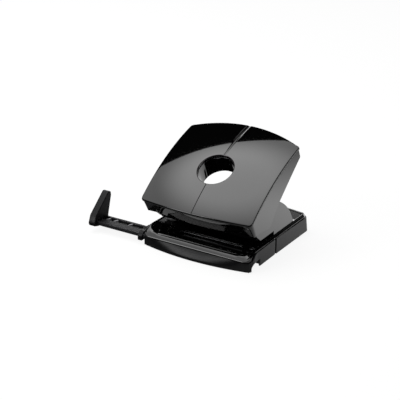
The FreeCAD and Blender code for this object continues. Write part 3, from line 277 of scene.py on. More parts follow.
shell = {
    "wall": 1.8,
    "skin": 1.8,
    "tubeLow": -13.0,
    "draft": 0.9,          # how much the side walls draw in over their depth
    "chinSetback": 2.8,
    "chinRun": 3.0,
    "skinInset": 0.5,
    "edgeRound": 0.4,
    "tubeRound": 0.5,
    "tubeOverlap": 1.5,    # the tube runs up into the skin by this
    "lowerEdge": [(-53.15, -17.9), (-50.35, -17.9), (-43.85, -19.7), (-36.45, -23.8),
                  (-26.15, -31.1), (-22.45, -31.4), (-20.05, -29.8), (-13.25, -26.0),
                  (-1.95, -22.0), (20.05, -16.8), (44.25, -11.6), (46.0, -9.4)],
}


def edgeDrop(y):
    # lower edge of the side wall at a place along the handle
    stations = shell["lowerEdge"]
    if y <= stations[0][0]:
        return stations[0][1]
    for (nearY, nearZ), (farY, farZ) in zip(stations, stations[1:]):
        if y <= farY:
            return nearZ + (farZ - nearZ) * (y - nearY) / (farY - nearY)
    return stations[-1][1]


def makeShell():
    reveal = handle["coverReveal"]
    depth = handle["coverThickness"] + handle["coverSeam"]
    walls = bowedOutline(reveal)
    openEdit("VERT")
    # the tail is open, so its part of the outline goes
    pick("VERT", lambda vert: vert.co.y > (tailSide - reveal + 0.3) * mm)
    bpy.ops.mesh.delete(type="VERT")
    bpy.ops.mesh.select_all(action="SELECT")
    bpy.ops.mesh.subdivide(number_cuts=1)
    bpy.ops.mesh.select_all(action="SELECT")
    bpy.ops.mesh.extrude_region_move(TRANSFORM_OT_translate={"value": (0, 0, -40 * mm)})
    closeEdit()

    def drape(x, y, z):
        high = crownHeight(x, y) - depth
        if z > -20:
            return x, y, high
        low = edgeDrop(y)
        front = clamp((lipSide + 2 - y) / shell["chinRun"])
        lowY = y + shell["chinSetback"] * front * (-low / 17.9)
        lowX = x - math.copysign(shell["draft"], x) * (-low / 31) * (1 - front)
        return lowX, lowY, low

    reshape(walls, drape)
    openEdit("EDGE")
    bpy.ops.mesh.select_all(action="SELECT")
    bpy.ops.mesh.normals_make_consistent(inside=False)
    closeEdit()
    faceMiddle = max(walls.data.polygons, key=lambda face: face.center.x)
    if faceMiddle.normal.x < 0:
        openEdit("FACE")
        bpy.ops.mesh.select_all(action="SELECT")
        bpy.ops.mesh.flip_normals()
        closeEdit()
    modify(walls, "SOLIDIFY", thickness=shell["wall"] * mm, offset=-1, use_even_offset=True)
    roundEdges(walls, shell["edgeRound"], segments=3, angle=40)
    skin = crownedPlate("skin", reveal + shell["skinInset"], shell["skin"], depth,
                        shell["edgeRound"])
    skinUnder = crownHeight(0, handle["holeY"]) - depth - shell["skin"]
    tubeTop = skinUnder + shell["tubeOverlap"]
    bpy.ops.mesh.primitive_cylinder_add(
        vertices=128, radius=handle["holeDiameter"] / 2 * mm, end_fill_type="NOTHING",
        depth=(tubeTop - shell["tubeLow"]) * mm,
        location=(0, handle["holeY"] * mm, (tubeTop + shell["tubeLow"]) / 2 * mm))
    tube = newest("tube")
    modify(tube, "SOLIDIFY", thickness=shell["wall"] * mm, offset=1, use_even_offset=True)
    bpy.ops.object.transform_apply(location=True, rotation=True, scale=True)
    roundEdges(tube, shell["tubeRound"], segments=3, angle=40)
    return joinPieces("handleBody", [walls, skin, tube])


handleBody = makeShell()
placeOnHandle(handleBody)
smooth(handleBody)
print("handle body made:", len(handleBody.data.polygons), "faces")


# ---- the base: plan outlines bowed at the front and rear, stacked into rings

base = {
    "halfWidth": 54.6,
    "halfDepth": 53.2,
    "frontBow": 5.2,
    "rearBow": 4.6,
    "frontCorner": 6.5,
    "rearCorner": 6.0,
    "low": 0.45,
    "wall": 1.6,
    "frontTop": 8.6,
    "sideTop": 14.8,
    "sweepFront": -52.4,   # the side's top line swings up between these two
    "sweepRear": -41.2,
    "partingFront": -9.7,
    "partingRear": -7.3,
    "innerFront": -51.5,   # the frame is solid in front of this
    "facetEdge": -53.6,
    "creaseMiddle": 3.6,   # the facet's lower edge rises towards both corners
    "creaseRise": 1.9,
    "creaseReach": 45,     # from the middle to where the crease has risen by that
    "notchFront": -49.8,
    "notchRear": -35.3,
    "notchTop": 7.2,
    "notchRound": 4.2,
    "notchInner": 47.6,
    "notchFloor": 4.2,
    "tunnelRear": -34.9,
    "tunnelLow": 6.1,
    "tunnelTop": 9.55,
    "draw": 1.0,           # how far the walls draw in over most of the height
    "flare": 50.0,         # the foot stands out again from mid depth to here
    "drawHeight": 14.0,
    "cornerOut": 0.7,
    "edgeRound": 0.3,
    "trayTopFront": 0.8,   # the tray's top line falls a little to the rear
    "trayTopRear": -0.6,
    "trayUpper": 3.9,
}
baseCuts = 64


def swing(y, low, high):
    # soft step from low to high along the sweep
    share = clamp((y - base["sweepFront"]) / (base["sweepRear"] - base["sweepFront"]))
    return low + (high - low) * (3 - 2 * share) * share ** 2


def baseOutline(inset, corners, frontBow, rearBow, front=0.0, rear=0.0):
    # closed line of edges round the base's plan, inset and with its ends bowed out
    halfWidth = base["halfWidth"] - inset
    low, high = -base["halfDepth"] + inset + front, base["halfDepth"] - inset - rear
    bpy.ops.mesh.primitive_plane_add(size=1, location=(0, (low + high) / 2 * mm, 0))
    outline = newest("outline")
    outline.scale = (halfWidth * 2 * mm, (high - low) * mm, 1)
    bpy.ops.object.transform_apply(location=True, rotation=True, scale=True)
    for isFront, size in ((True, corners[0]), (False, corners[1])):
        openEdit("VERT")
        pick("VERT", lambda vert: (vert.co.y < 0) == isFront and
             abs(abs(vert.co.y) - abs(low if isFront else high) * mm) < 0.001 * mm)
        bpy.ops.mesh.bevel(offset=size * mm, offset_pct=0, segments=6, affect="VERTICES")
        closeEdit()
    openEdit("EDGE")
    pick("EDGE", lambda edge: edge.calc_length() > 40 * mm)
    bpy.ops.mesh.subdivide(number_cuts=baseCuts)
    bpy.ops.mesh.select_all(action="SELECT")
    bpy.ops.mesh.delete(type="ONLY_FACE")
    closeEdit()

    def bow(x, y, z):
        isFront = y < 0
        size = frontBow if isFront else rearBow
        edge, corner = (low, corners[0]) if isFront else (high, corners[1])
        if size == 0 or abs(y - edge) > corner + 0.01:
            return x, y, z
        flat = halfWidth - corner
        radius = (flat ** 2 + size ** 2) / (2 * size)
        rise = size - arcDrop(radius, min(abs(x), flat))
        return x, y - rise if isFront else y + rise, z

    reshape(outline, bow)
    return outline


def stackRings(name, rings, closed=False):
    # joins outlines of equal count and bridges each to the next
    count = len(rings[0].data.vertices)
    pairs = [(step, step + 1) for step in range(len(rings) - 1)]
    if closed:
        pairs.append((len(rings) - 1, 0))
    piece = joinPieces(name, rings)
    openEdit("EDGE")
    for pair in pairs:

        def inPair(edge):
            spots = [vert.index // count for vert in edge.verts]
            return spots[0] == spots[1] and spots[0] in pair

        pick("EDGE", inPair)
        bpy.ops.mesh.bridge_edge_loops()
    bpy.ops.mesh.select_all(action="SELECT")
    bpy.ops.mesh.normals_make_consistent(inside=False)
    closeEdit()
    return piece


def creaseHeight(x):
    return base["creaseMiddle"] + base["creaseRise"] * (x / base["creaseReach"]) ** 2


def skirtRing(inset, rule, inner=False):
    corners = (max(base["frontCorner"] - inset, 0.6), max(base["rearCorner"] - inset, 0.6))
    bow, front = base["frontBow"], 0.0
    if inner:
        bow, front = 0, base["innerFront"] + base["halfDepth"] - inset
    ring = baseOutline(inset, corners, bow, base["rearBow"], front)
    reshape(ring, lambda x, y, z: (x, y, rule(x, y)))
    return ring


def cutPlane(obj, place, normal, fill=False):
    makeActive(obj)
    openEdit("FACE")
    bpy.ops.mesh.select_all(action="SELECT")
    bpy.ops.mesh.bisect(plane_co=[v * mm for v in place], plane_no=normal, use_fill=fill,
                        clear_outer=fill, threshold=0.0005 * mm)
    closeEdit()


def cutBox(obj, low, high, bevelled=0):
    # takes a box out of a piece, its front top edge rounded by so much
    centre = [(a + b) / 2 * mm for a, b in zip(low, high)]
    bpy.ops.mesh.primitive_cube_add(size=1, location=centre)
    box = newest("cutter")
    box.scale = [(b - a) * mm for a, b in zip(low, high)]
    settle(box)
    if bevelled:
        openEdit("EDGE")
        pick("EDGE", lambda edge: middle(edge).y < centre[1] and middle(edge).z > centre[2] and
             abs(edge.verts[0].co.x - edge.verts[1].co.x) > mm)
        bpy.ops.mesh.bevel(offset=bevelled * mm, segments=8, affect="EDGES")
        closeEdit()
    modify(obj, "BOOLEAN", object=box, operation="DIFFERENCE", solver="EXACT")
    bpy.data.objects.remove(box)


def copyNode(nodeName, pieceName):
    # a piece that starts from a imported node's solid, merged and freed of flat edges
    piece = bpy.data.objects.new(pieceName, nodes[nodeName].data.copy())
    bpy.context.collection.objects.link(piece)
    settle(piece)
    openEdit("FACE")
    bpy.ops.mesh.select_all(action="SELECT")
    bpy.ops.mesh.dissolve_limited(angle_limit=math.radians(0.6))
    closeEdit()
    return piece


def drawIn(x, y, z):
    # the rear's foot and the front corners stand out again
    foot = 1 - clamp(z / base["drawHeight"])
    corner = min(max(-y / 10 - 4, 0), base["cornerOut"])
    standOut = max(clamp(y / base["flare"]) * foot, corner)
    share = 1 - base["draw"] * (1 - standOut) / base["halfWidth"]
    return x * share, y * share if y > 0 else y, z


def facet(x, y, z):
    # the upper part of the front leans back to a straight edge under the deck
    crease = creaseHeight(x)
    if z <= crease or y > base["facetEdge"]:
        return x, y, z
    share = min((z - crease) / (base["frontTop"] - crease), 1)
    return x, y + (base["facetEdge"] - y) * share, z


def makeBaseFrame():
    wall, low, top = base["wall"], base["low"], base["sideTop"]
    within, beyond, under = 46, 60, -3  # the cutting boxes end well off the side walls
    skirt = stackRings("baseFrame", [
        skirtRing(wall, lambda x, y: low, inner=True),
        skirtRing(0.5, lambda x, y: low),
        skirtRing(0.15, lambda x, y: low + 0.15),
        skirtRing(0, lambda x, y: low + 0.5),
        skirtRing(0, lambda x, y: creaseHeight(x)),
        skirtRing(0, lambda x, y: swing(y, base["frontTop"], top) - 0.3),
        skirtRing(0.08, lambda x, y: swing(y, base["frontTop"], top) - 0.08),
        skirtRing(0.3, lambda x, y: swing(y, base["frontTop"], top)),
        skirtRing(wall, lambda x, y: swing(y, base["frontTop"], top), inner=True),
    ], closed=True)
    cutPlane(skirt, (0, base["partingFront"], 0), (0, 1, 0), fill=True)
    reshape(skirt, drawIn)
    reshape(skirt, facet)
    cutBox(skirt, (within, base["notchFront"], under),
           (beyond, base["notchRear"], base["notchTop"]), base["notchRound"])
    cutBox(skirt, (-beyond, base["innerFront"], base["tunnelLow"]),
           (-within, base["tunnelRear"], base["tunnelTop"]))
    # floor, cross wall, bosses and lugs within
    inner = copyNode("base_frame", "inner")
    overlap = 0.4
    reach = base["halfWidth"] - base["draw"] - base["wall"] + overlap
    for place, normal in (((reach, 0, 0), (1, 0, 0)), ((-reach, 0, 0), (-1, 0, 0)),
                          ((0, base["innerFront"] - overlap, 0), (0, -1, 0)),
                          ((0, base["partingFront"], 0), (0, 1, 0))):
        cutPlane(inner, place, normal, fill=True)
    cutBox(inner, (base["notchInner"], base["notchFront"], under),
           (beyond, base["notchRear"], base["notchFloor"]))
    roundEdges(inner, base["edgeRound"], segments=2)
    return joinPieces("baseFrame", [skirt, inner])


def trayShape(x, y, z):
    if z > 10 and y > base["partingRear"] - 1:
        share = (y - base["partingRear"]) / (base["halfDepth"] - base["partingRear"])
        rise = base["trayTopFront"] + (base["trayTopRear"] - base["trayTopFront"]) * share
        z += rise * (z - 10) / base["trayUpper"]
    if abs(x) > 50 and base["partingFront"] < y < base["partingRear"]:
        y = base["partingRear"]
    return drawIn(x, y, z)


baseFrame = makeBaseFrame()
chipTray = copyNode("chip_tray", "chipTray")
roundEdges(chipTray, base["edgeRound"], segments=2, angle=28)
reshape(chipTray, trayShape)
print("base frame and tray made:", len(baseFrame.data.polygons), len(chipTray.data.polygons))


# ---- the deck: the same kind of rings, from its lip over the rim to the paper ramp

deck = {
    "inset": 1.8,
    "frontY": -54.0,
    "frontCorner": 6.0,
    "innerCorner": 9.0,
    "rearCorner": 6.0,
    "rim": 2.9,
    "rearRim": 4.0,
    "sideTop": 17.6,
    "rearTop": 16.4,
    "frontLow": 9.5,
    "sideLow": 15.2,
    "rearLow": 14.3,
    "slotFloor": 16.5,
    "rearFloor": 15.6,
    "rearDeck": 30.3,
    "rearStep": 3,
    # height of the front over its depth: a small lip, a steep roll, then the paper ramp
    "roll": [(0, 9.9), (0.08, 10.12), (0.3, 10.33), (0.6, 10.62), (1.0, 11.0), (1.4, 11.37),
             (1.8, 11.73), (2.2, 12.08), (2.8, 12.59), (3.1, 12.82), (3.5, 13.04), (4.0, 13.24),
             (5.0, 13.55), (5.8, 13.78), (18.0, 16.5)],
    "thickness": 2.2,
    # the rim's bead, from outside in: side inset, drop from the crest, front and rear inset
    "bead": [(0, 1.7, 0, 0), (0.4, 1.38, 0.2, 0.1), (0.8, 1.05, 0.5, 0.2), (1.2, 0.7, 0.8, 0.3),
             (1.6, 0.35, 1.1, 0.5), (1.9, 0.08, 1.4, 0.9), (2.2, 0, 1.8, 3.0),
             (2.4, 0.03, 2.0, 3.3), (2.5, 0.06, 2.3, 3.45), (2.6, 0.1, 2.8, 3.6),
             (2.7, 0.18, 3.2, 3.75), (2.8, 0.28, 3.7, 3.85)],
    "beadFade": 4,
    "footStep": 0.25,
    "plateHalf": 47.1,
    "plateFront": -27.0,
    "plateRear": -12.8,
}


def deckFloor(x, y):
    # rolled front edge, ramp, slot floor and rear deck, from front to rear
    along = max(y - deck["frontY"], 0)
    for (near, low), (far, high) in zip(deck["roll"], deck["roll"][1:]):
        if along < far:
            return low + (high - low) * (along - near) / (far - near)
    drop = clamp((y - deck["rearDeck"]) / deck["rearStep"] + 0.5)
    return deck["slotFloor"] + (deck["rearFloor"] - deck["slotFloor"]) * drop


def rimTop(x, y):
    high = deck["sideTop"]
    if y > base["sweepRear"]:
        share = (y - base["sweepRear"]) / (base["halfDepth"] - base["sweepRear"])
        high += (deck["rearTop"] - deck["sideTop"]) * min(share, 1)
    low = deckFloor(x, y)
    if abs(x) < 40 and y < 0:
        return low
    return max(swing(y, low, high), low)


def rimLow(x, y):
    if y > base["partingFront"]:
        return deck["rearLow"]
    return swing(y, deck["frontLow"], deck["sideLow"])


def deckRing(inset, rule, frontInset, rearInset):
    # its own inset works on every side, so the ends make up the difference
    front = deck["frontY"] + base["halfDepth"] - deck["inset"] + frontInset - inset
    frontCorner = deck["frontCorner"] - inset if inset < 2 else deck["innerCorner"]
    corners = (frontCorner, max(deck["rearCorner"] - inset, 1.2))
    ring = baseOutline(deck["inset"] + inset, corners, 0, base["rearBow"], front,
                       rearInset - inset)
    reshape(ring, lambda x, y, z: (x, y, rule(x, y)))
    return ring


def fadeIn(y):
    # the bead fades out where the rim runs into the front roll
    return clamp((y - base["sweepFront"]) / deck["beadFade"])


def crest(drop):
    def rule(x, y):
        return max(rimTop(x, y) - drop * fadeIn(y), rimLow(x, y) + 0.3)
    return rule


def floorOr(step):
    def rule(x, y):
        return deckFloor(x, y) + step * fadeIn(y)
    return rule


def makeDeck():
    rim, rear = deck["rim"], deck["rearRim"]
    under = deck["thickness"]
    shell = stackRings("deckShell", [
        deckRing(rim + 0.2, lambda x, y: deckFloor(x, y) - under, rim, rear),
        deckRing(rim, rimLow, rim - 0.2, rear),
        deckRing(0.2, rimLow, 0.2, 0.2),
        deckRing(0, lambda x, y: rimLow(x, y) + 0.2, 0, 0),
        *[deckRing(inset, crest(drop), front, back) for inset, drop, front, back in deck["bead"]],
        deckRing(rim, floorOr(deck["footStep"]), 4.4, rear),
        deckRing(rim + 0.3, deckFloor, 5.8, rear + 0.3),
    ])
    ringCount = len(deck["bead"]) + 6
    count = len(shell.data.vertices) // ringCount
    for ring, drop in ((ringCount - 1, 0), (0, under)):
        before = len(shell.data.vertices)
        openEdit("EDGE")
        pick("EDGE", lambda edge: edge.is_boundary and
             all(vert.index // count == ring for vert in edge.verts))
        bpy.ops.mesh.fill_grid(span=baseCuts + 7, offset=0)
        closeEdit()
        for vert in shell.data.vertices:
            if vert.index >= before:
                x, y, z = vert.co / mm
                vert.co.z = (deckFloor(x, y) - drop) * mm
    settle(shell)
    cutBox(shell, (-deck["plateHalf"], deck["plateFront"], 8),
           (deck["plateHalf"], deck["plateRear"], 20))
    return shell


deckShell = makeDeck()
print("deck made:", len(deckShell.data.polygons), "faces")


# ---- the paper rail

rail = {
    "left": -109.0,
    "right": 15.0,
    "front": -51.4,
    "rear": -35.0,
    "low": 6.25,
    "top": 9.4,
    "channelFront": -42.4,
    "channelRear": -37.6,
    "channelDepth": 1.6,
    "channelEnd": 4,
    "sunkLow": 0.1,        # faces between these heights above the rail's underside are sunk, and take the channel's painted shade
    "sunkTop": 2.9,
    "edgeRound": 0.35,
    "markWide": 1.3,
    "markRound": 0.12,
    "markTop": 9.25,
    "markLean": 1.6,
    "markFirst": -100.0,
    "markStep": 8.0,
    "markSteps": (0, 1, 3, 5, 6, 8, 9, 11),
}


def makeRail():
    centre = [(rail["left"] + rail["right"]) / 2, (rail["front"] + rail["rear"]) / 2,
              (rail["low"] + rail["top"]) / 2]
    bpy.ops.mesh.primitive_cube_add(size=1, location=[v * mm for v in centre])
    bar = newest("railBar")
    bar.scale = [(rail[b] - rail[a]) * mm for a, b in
                 (("left", "right"), ("front", "rear"), ("low", "top"))]
    settle(bar)
    bottom = rail["top"] - rail["channelDepth"]
    cutBox(bar, (rail["left"] + rail["channelEnd"], rail["channelFront"], bottom),
           (rail["right"] - rail["channelEnd"], rail["channelRear"], rail["top"] + 2))
    roundEdges(bar, rail["edgeRound"], segments=3)
    return bar


def makeMarks():
    # one slanted bar across the channel, copied along it
    wide = rail["channelRear"] - rail["channelFront"]
    bottom = rail["top"] - rail["channelDepth"] - 0.1
    tall = rail["markTop"] - bottom
    marks = []
    for step in rail["markSteps"]:
        spot = rail["markFirst"] + rail["markStep"] * step
        bpy.ops.mesh.primitive_cube_add(size=1, location=(
            spot * mm, (rail["channelFront"] + wide / 2) * mm, (bottom + tall / 2) * mm))
        mark = newest("mark")
        mark.scale = (rail["markWide"] * mm, wide * 0.8 * mm, tall * mm)
        settle(mark)
        openEdit("VERT")
        pick("VERT", lambda vert: vert.co.y > (rail["channelFront"] + wide / 2) * mm)
        bpy.ops.transform.translate(value=(rail["markLean"] * mm, 0, 0))
        closeEdit()
        roundEdges(mark, rail["markRound"], segments=2)
        marks.append(mark)
    return joinPieces("railScale", marks)


stop = {
    "left": -110.2,
    "right": -103.3,
    # outline seen from the side, y and z, from the foot's front round to the blade's front
    "outline": [(-56.0, 8.6), (-55.2, 6.2), (-50.0, 4.6), (-34.6, 4.6), (-34.6, 10.65),
                (-29.6, 28.0), (-29.8, 31.0), (-31.4, 32.2), (-33.6, 32.2), (-53.0, 15.6)],
    "edgeRound": 0.7,
}


def makeStop():
    corners = stop["outline"]
    bpy.ops.mesh.primitive_circle_add(vertices=len(corners), fill_type="NGON",
                                      rotation=(0, math.radians(90), 0))
    blade = newest("stopBlade")
    for vert, (y, z) in zip(blade.data.vertices, corners):
        vert.co = Vector((y, z, 0)) * mm
    blade.matrix_world = Matrix(((0, 0, 1, stop["left"] * mm), (1, 0, 0, 0), (0, 1, 0, 0),
                                 (0, 0, 0, 1)))
    openEdit("FACE")
    bpy.ops.mesh.select_all(action="SELECT")
    bpy.ops.mesh.extrude_region_move(
        TRANSFORM_OT_translate={"value": ((stop["right"] - stop["left"]) * mm, 0, 0)})
    closeEdit()
    settle(blade)
    roundEdges(blade, stop["edgeRound"], segments=3)
    return blade


railBar = makeRail()
railScale = makeMarks()
stopBlade = makeStop()
print("rail made")


# ---- materials

def toLinear(hexColour):
    shades = [int(hexColour[at:at + 2], 16) / 255 for at in (0, 2, 4)]
    return [s / 12.92 if s <= 0.04045 else ((s + 0.055) / 1.055) ** 2.4 for s in shades] + [1]


def addNode(tree, kind, settings=None, inputs=None, links=None):
    node = tree.nodes.new(kind)
    for name, value in (settings or {}).items():
        setattr(node, name, value)
    for name, value in (inputs or {}).items():
        node.inputs[name].default_value = value
    for name, source in (links or {}).items():
        tree.links.new(source, node.inputs[name])
    return node


def startMaterial(name, colour, roughness, **sockets):
    material = bpy.data.materials.new(name)
    material.use_nodes = True
    tree = material.node_tree
    shader = tree.nodes["Principled BSDF"]
    shader.inputs["Base Color"].default_value = toLinear(colour)
    shader.inputs["Roughness"].default_value = roughness
    for socket, value in sockets.items():
        shader.inputs[socket].default_value = value
    place = addNode(tree, "ShaderNodeTexCoord").outputs["Object"]
    return material, tree, shader, place


def addNoise(tree, place, size, detail):
    # features of about this many millimetres
    return addNode(tree, "ShaderNodeTexNoise", inputs={"Scale": 1 / (size * mm), "Detail": detail},
                   links={"Vector": place}).outputs["Fac"]


def addDull(tree, shader, pattern, low, high, **limits):
    dull = addNode(tree, "ShaderNodeMapRange", inputs={"To Min": low, "To Max": high, **limits},
                   links={"Value": pattern})
    tree.links.new(dull.outputs["Result"], shader.inputs["Roughness"])


def addBump(tree, shader, pattern, strength, depth):
    bump = addNode(tree, "ShaderNodeBump", inputs={"Strength": strength, "Distance": depth * mm},
                   links={"Height": pattern})
    tree.links.new(bump.outputs["Normal"], shader.inputs["Normal"])


# piano-black ABS, injection moulded in a polished tool: a deep black under a clear,
# almost mirror-like skin with the faintest waviness and a few dust-fine dull specks
def glossAbs():
    material, tree, shader, place = startMaterial(
        "polishedBlackAbs", "070707", 0.05,
        **{"IOR": 1.54, "Coat Weight": 1.0, "Coat Roughness": 0.02, "Coat IOR": 1.5})
    addDull(tree, shader, addNoise(tree, place, 0.9, 2), 0.04, 0.1,
            **{"From Min": 0.45, "From Max": 0.8})
    addBump(tree, shader, addNoise(tree, place, 38, 1), 0.06, 0.4)
    return material


# spark-eroded ABS: fine even grain that breaks the light into a soft charcoal sheen
def grainedAbs(name="grainedBlackAbs", colour="141416", grain=0.55, depth=0.03, shine=0.36,
               rough=0.3):
    material, tree, shader, place = startMaterial(
        name, colour, rough, **{"IOR": 1.5, "Specular IOR Level": shine})
    addDull(tree, shader, addNoise(tree, place, 14, 2), rough - 0.04, rough + 0.06)
    addBump(tree, shader, addNoise(tree, place, grain, 3), 0.35, depth)
    return material


# bright steel: zinc plate, ground or drawn, told apart by the scratch direction and tint
def steel(name, colour, roughness, stretch, scratch=0.18):
    material, tree, shader, place = startMaterial(name, colour, roughness, **{"Metallic": 1.0})
    turned = addNode(tree, "ShaderNodeMapping", inputs={"Scale": stretch}, links={"Vector": place})
    lines = addNoise(tree, turned.outputs["Vector"], scratch, 2)
    addDull(tree, shader, lines, roughness * 0.75, roughness * 1.35)
    addBump(tree, shader, lines, 0.12, 0.02)
    return material


# rubber and nylon: soft, dry, a little cloudy
def softPlastic(name, colour, roughness, ior=1.5, cloud=3.0):
    material, tree, shader, place = startMaterial(name, colour, roughness, **{"IOR": ior})
    clouds = addNoise(tree, place, cloud, 3)
    addDull(tree, shader, clouds, roughness - 0.08, roughness + 0.08)
    addBump(tree, shader, clouds, 0.15, 0.03)
    return material


# clear styrene-acrylonitrile: a small window with a faint moulded ripple
def clearSan():
    material, tree, shader, place = startMaterial(
        "clearSan", "f4f6f6", 0.06, **{"IOR": 1.57, "Transmission Weight": 1.0})
    addBump(tree, shader, addNoise(tree, place, 4, 1), 0.1, 0.05)
    return material


finishes = {
    "gloss_abs": glossAbs(),
    "matt_abs": grainedAbs(),
    # the rail's grey is lighter than the other black ABS: partly its own dark colour, partly a
    # painted sheen standing in for reflected light on its faces
    "rail_plastic": grainedAbs("satinDarkAbsPaintedSheen", "2c2c2f", 0.4, 0.02, 0.3, 0.5),
    # the zinc-plated parts are near-black: partly a phosphated finish, partly painted shade for
    # the parts that sit in shade under the handle and show in the dish
    "zinc_steel": steel("phosphatedShadedSteel", "1c1c1e", 0.45, (1, 1, 1), 0.6),
    "ground_steel": steel("groundSteel", "c3c4c6", 0.22, (1, 1, 0.08)),
    "spring_steel": steel("springSteel", "8d8f92", 0.3, (1, 1, 1), 0.4),
    "screw_steel": steel("blackenedScrewSteel", "3a3a3c", 0.35, (1, 1, 1), 0.3),
    "nylon": softPlastic("whiteNylon", "d9d6cc", 0.42, 1.53),
    "rubber": softPlastic("blackRubber", "161616", 0.75, 1.5, 1.2),
    "clear_plastic": clearSan(),
}
slotOf = {part["node"]: part["material_slot"] for part in frame["record"]["subparts"]}


def dress(obj, slot):
    obj.data.materials.clear()
    obj.data.materials.append(finishes[slot])


print("finishes ready:", len(finishes))


# ---- the pieces take their places

def usePiece(obj, body, slot, replaced):
    dress(obj, slot)
    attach(obj, body)
    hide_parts(*replaced)


usePiece(coverPlate, "lever", "gloss_abs", ["handle_cover"])
usePiece(handleBody, "lever", "gloss_abs", ["handle_shell"])
for piece in (baseFrame, chipTray, deckShell):
    smooth(piece, 28)
for piece in (railBar, railScale, stopBlade):
    smooth(piece)
usePiece(railBar, "rail", "rail_plastic", ["guide_rail"])
usePiece(stopBlade, "rail", "matt_abs", ["rail_stop"])
usePiece(railScale, "rail", slotOf["rail_marks"], ["rail_marks"])
# the marks' tops are worn to a paler grey than the rail
railScale.data.materials[0] = grainedAbs("paleGreyAbs", "c4c4c8", 0.4, 0.02, 0.45)
# painted shade: the channel's sunk faces get a darker, rougher and less shiny material than the
# rail's faces, standing in for the shade in the deep slot
railBar.data.materials.append(grainedAbs("channelPaintedShadeAbs", "0a0a0b", 0.4, 0.02, 0.1, 0.6))
# the sunk channel faces take the painted-shade material
for face in railBar.data.polygons:
    inside = rail["channelFront"] * mm < face.center.y < rail["channelRear"] * mm
    if inside and rail["sunkLow"] * mm < face.center.z - rail["low"] * mm < rail["sunkTop"] * mm:
        face.material_index = 1
usePiece(baseFrame, "root", "matt_abs", ["base_frame"])
usePiece(chipTray, "tray", "matt_abs", ["chip_tray"])
usePiece(deckShell, "root", "gloss_abs", ["base_deck"])

nodeRound = 0.2
for nodeName, node in nodes.items():
    dress(node, slotOf[nodeName])
    weld = node.modifiers.new("Weld", "WELD")
    weld.merge_threshold = mergeGap * mm
    soften = node.modifiers.new("Bevel", "BEVEL")
    soften.width, soften.segments = nodeRound * mm, 2
    soften.limit_method, soften.angle_limit = "ANGLE", math.radians(35)
    soften.harden_normals = True
print("nodes dressed:", len(nodes))


# ---- floor, lamps, camera

stage = {
    "floorSize": 6.0,
    "glow": 0.89,
    "paint": "c8c8c8",
    "glint": "808080",
    "softboxSize": (1.85, 1.4),
    "softboxPlace": (-0.652, -0.152, 1.3),
    "softboxTurn": 35.6,
    "softboxWatts": 18.0,
    "softboxMiddle": (-0.55, 0.05, 1.3),
    "softboxEven": 0.3,       # full brightness out to here, in metres
    "softboxRim": 0.8,
    "softboxDim": 0.4,
    "brightWay": (0.5, 0.87, 0.0),   # the white cards stand behind and to the right
    "fill": 0.14,
    "floorNear": 0.1,      # painted falloff: the floor seen in reflections is painted dimmer further off
    "floorFar": 0.3,
    "floorDim": 0.25,
    "strip": 2.4,          # a strip light lies along the cards
    "cardPlace": (-0.58, -0.84, 0.6),   # a lit card low in front, on the left
    "cardSize": 0.42,
    "cardWatts": 1.8,
    # from here to there along the bright way, and the strengths at both ends
    # the floor seen in reflections is painted dark towards the front left, as painted shade, and
    # bright towards the cards
    "floorSide": (-0.12, 0.14, 0.03, 0.88),
    "cardsSide": (-0.1, 0.4, 0.02),
    "cardsFull": 0.2,      # heights of the cards and of the strip, as parts of straight up
    "cardsEnd": 0.47,
    "stripMiddle": 0.25,
    "stripHalf": 0.08,
}


def brightSide(tree, place, dark, bright, low, high=1.0):
    # from low to high along the way to the white cards
    along = addNode(tree, "ShaderNodeVectorMath", {"operation": "DOT_PRODUCT"},
                    {1: stage["brightWay"]}, {0: place})
    return addNode(tree, "ShaderNodeMapRange", {"interpolation_type": "SMOOTHSTEP"},
                   {"From Min": dark, "From Max": bright, "To Min": low, "To Max": high},
                   {"Value": along.outputs["Value"]}).outputs["Result"]


def seenDirectly(tree, path):
    return addNode(tree, "ShaderNodeMath", {"operation": "MAXIMUM"}, links={
        0: path.outputs["Is Camera Ray"], 1: path.outputs["Is Transmission Ray"]})


def paleFloor():
    bpy.ops.mesh.primitive_plane_add(size=stage["floorSize"], location=(0, 0, -0.0002))
    floor = newest("floor")
    material = bpy.data.materials.new("paleFloorPaint")
    material.use_nodes = True
    tree = material.node_tree
    tree.nodes.clear()
    path = addNode(tree, "ShaderNodeLightPath")
    place = addNode(tree, "ShaderNodeTexCoord").outputs["Object"]
    shown = seenDirectly(tree, path)
    seen = addNode(tree, "ShaderNodeMath", {"operation": "MAXIMUM"},
                   links={0: shown.outputs[0], 1: path.outputs["Is Glossy Ray"]})
    paint = addNode(tree, "ShaderNodeBsdfDiffuse", inputs={"Color": toLinear(stage["paint"])})
    thin = addNode(tree, "ShaderNodeBsdfDiffuse", inputs={"Color": toLinear(stage["glint"])})
    white = addNode(tree, "ShaderNodeEmission", inputs={"Strength": stage["glow"]})
    both = addNode(tree, "ShaderNodeAddShader", links={0: thin.outputs[0], 1: white.outputs[0]})
    # painted light: the floor seen in reflections glows bright near the object towards the cards,
    # with painted shade towards the front left and a painted falloff further off
    far = brightSide(tree, place, stage["floorNear"], stage["floorFar"], 1.0, stage["floorDim"])
    lit = addNode(tree, "ShaderNodeMath", {"operation": "MULTIPLY"}, links={
        0: brightSide(tree, place, *stage["floorSide"]), 1: far})
    mirrored = addNode(tree, "ShaderNodeEmission", links={"Strength": lit.outputs[0]})
    shine = addNode(tree, "ShaderNodeMixShader", links={
        0: shown.outputs[0], 1: mirrored.outputs[0], 2: both.outputs[0]})
    mix = addNode(tree, "ShaderNodeMixShader",
                  links={0: seen.outputs[0], 1: paint.outputs[0], 2: shine.outputs[0]})
    addNode(tree, "ShaderNodeOutputMaterial", links={"Surface": mix.outputs[0]})
    floor.data.materials.append(material)


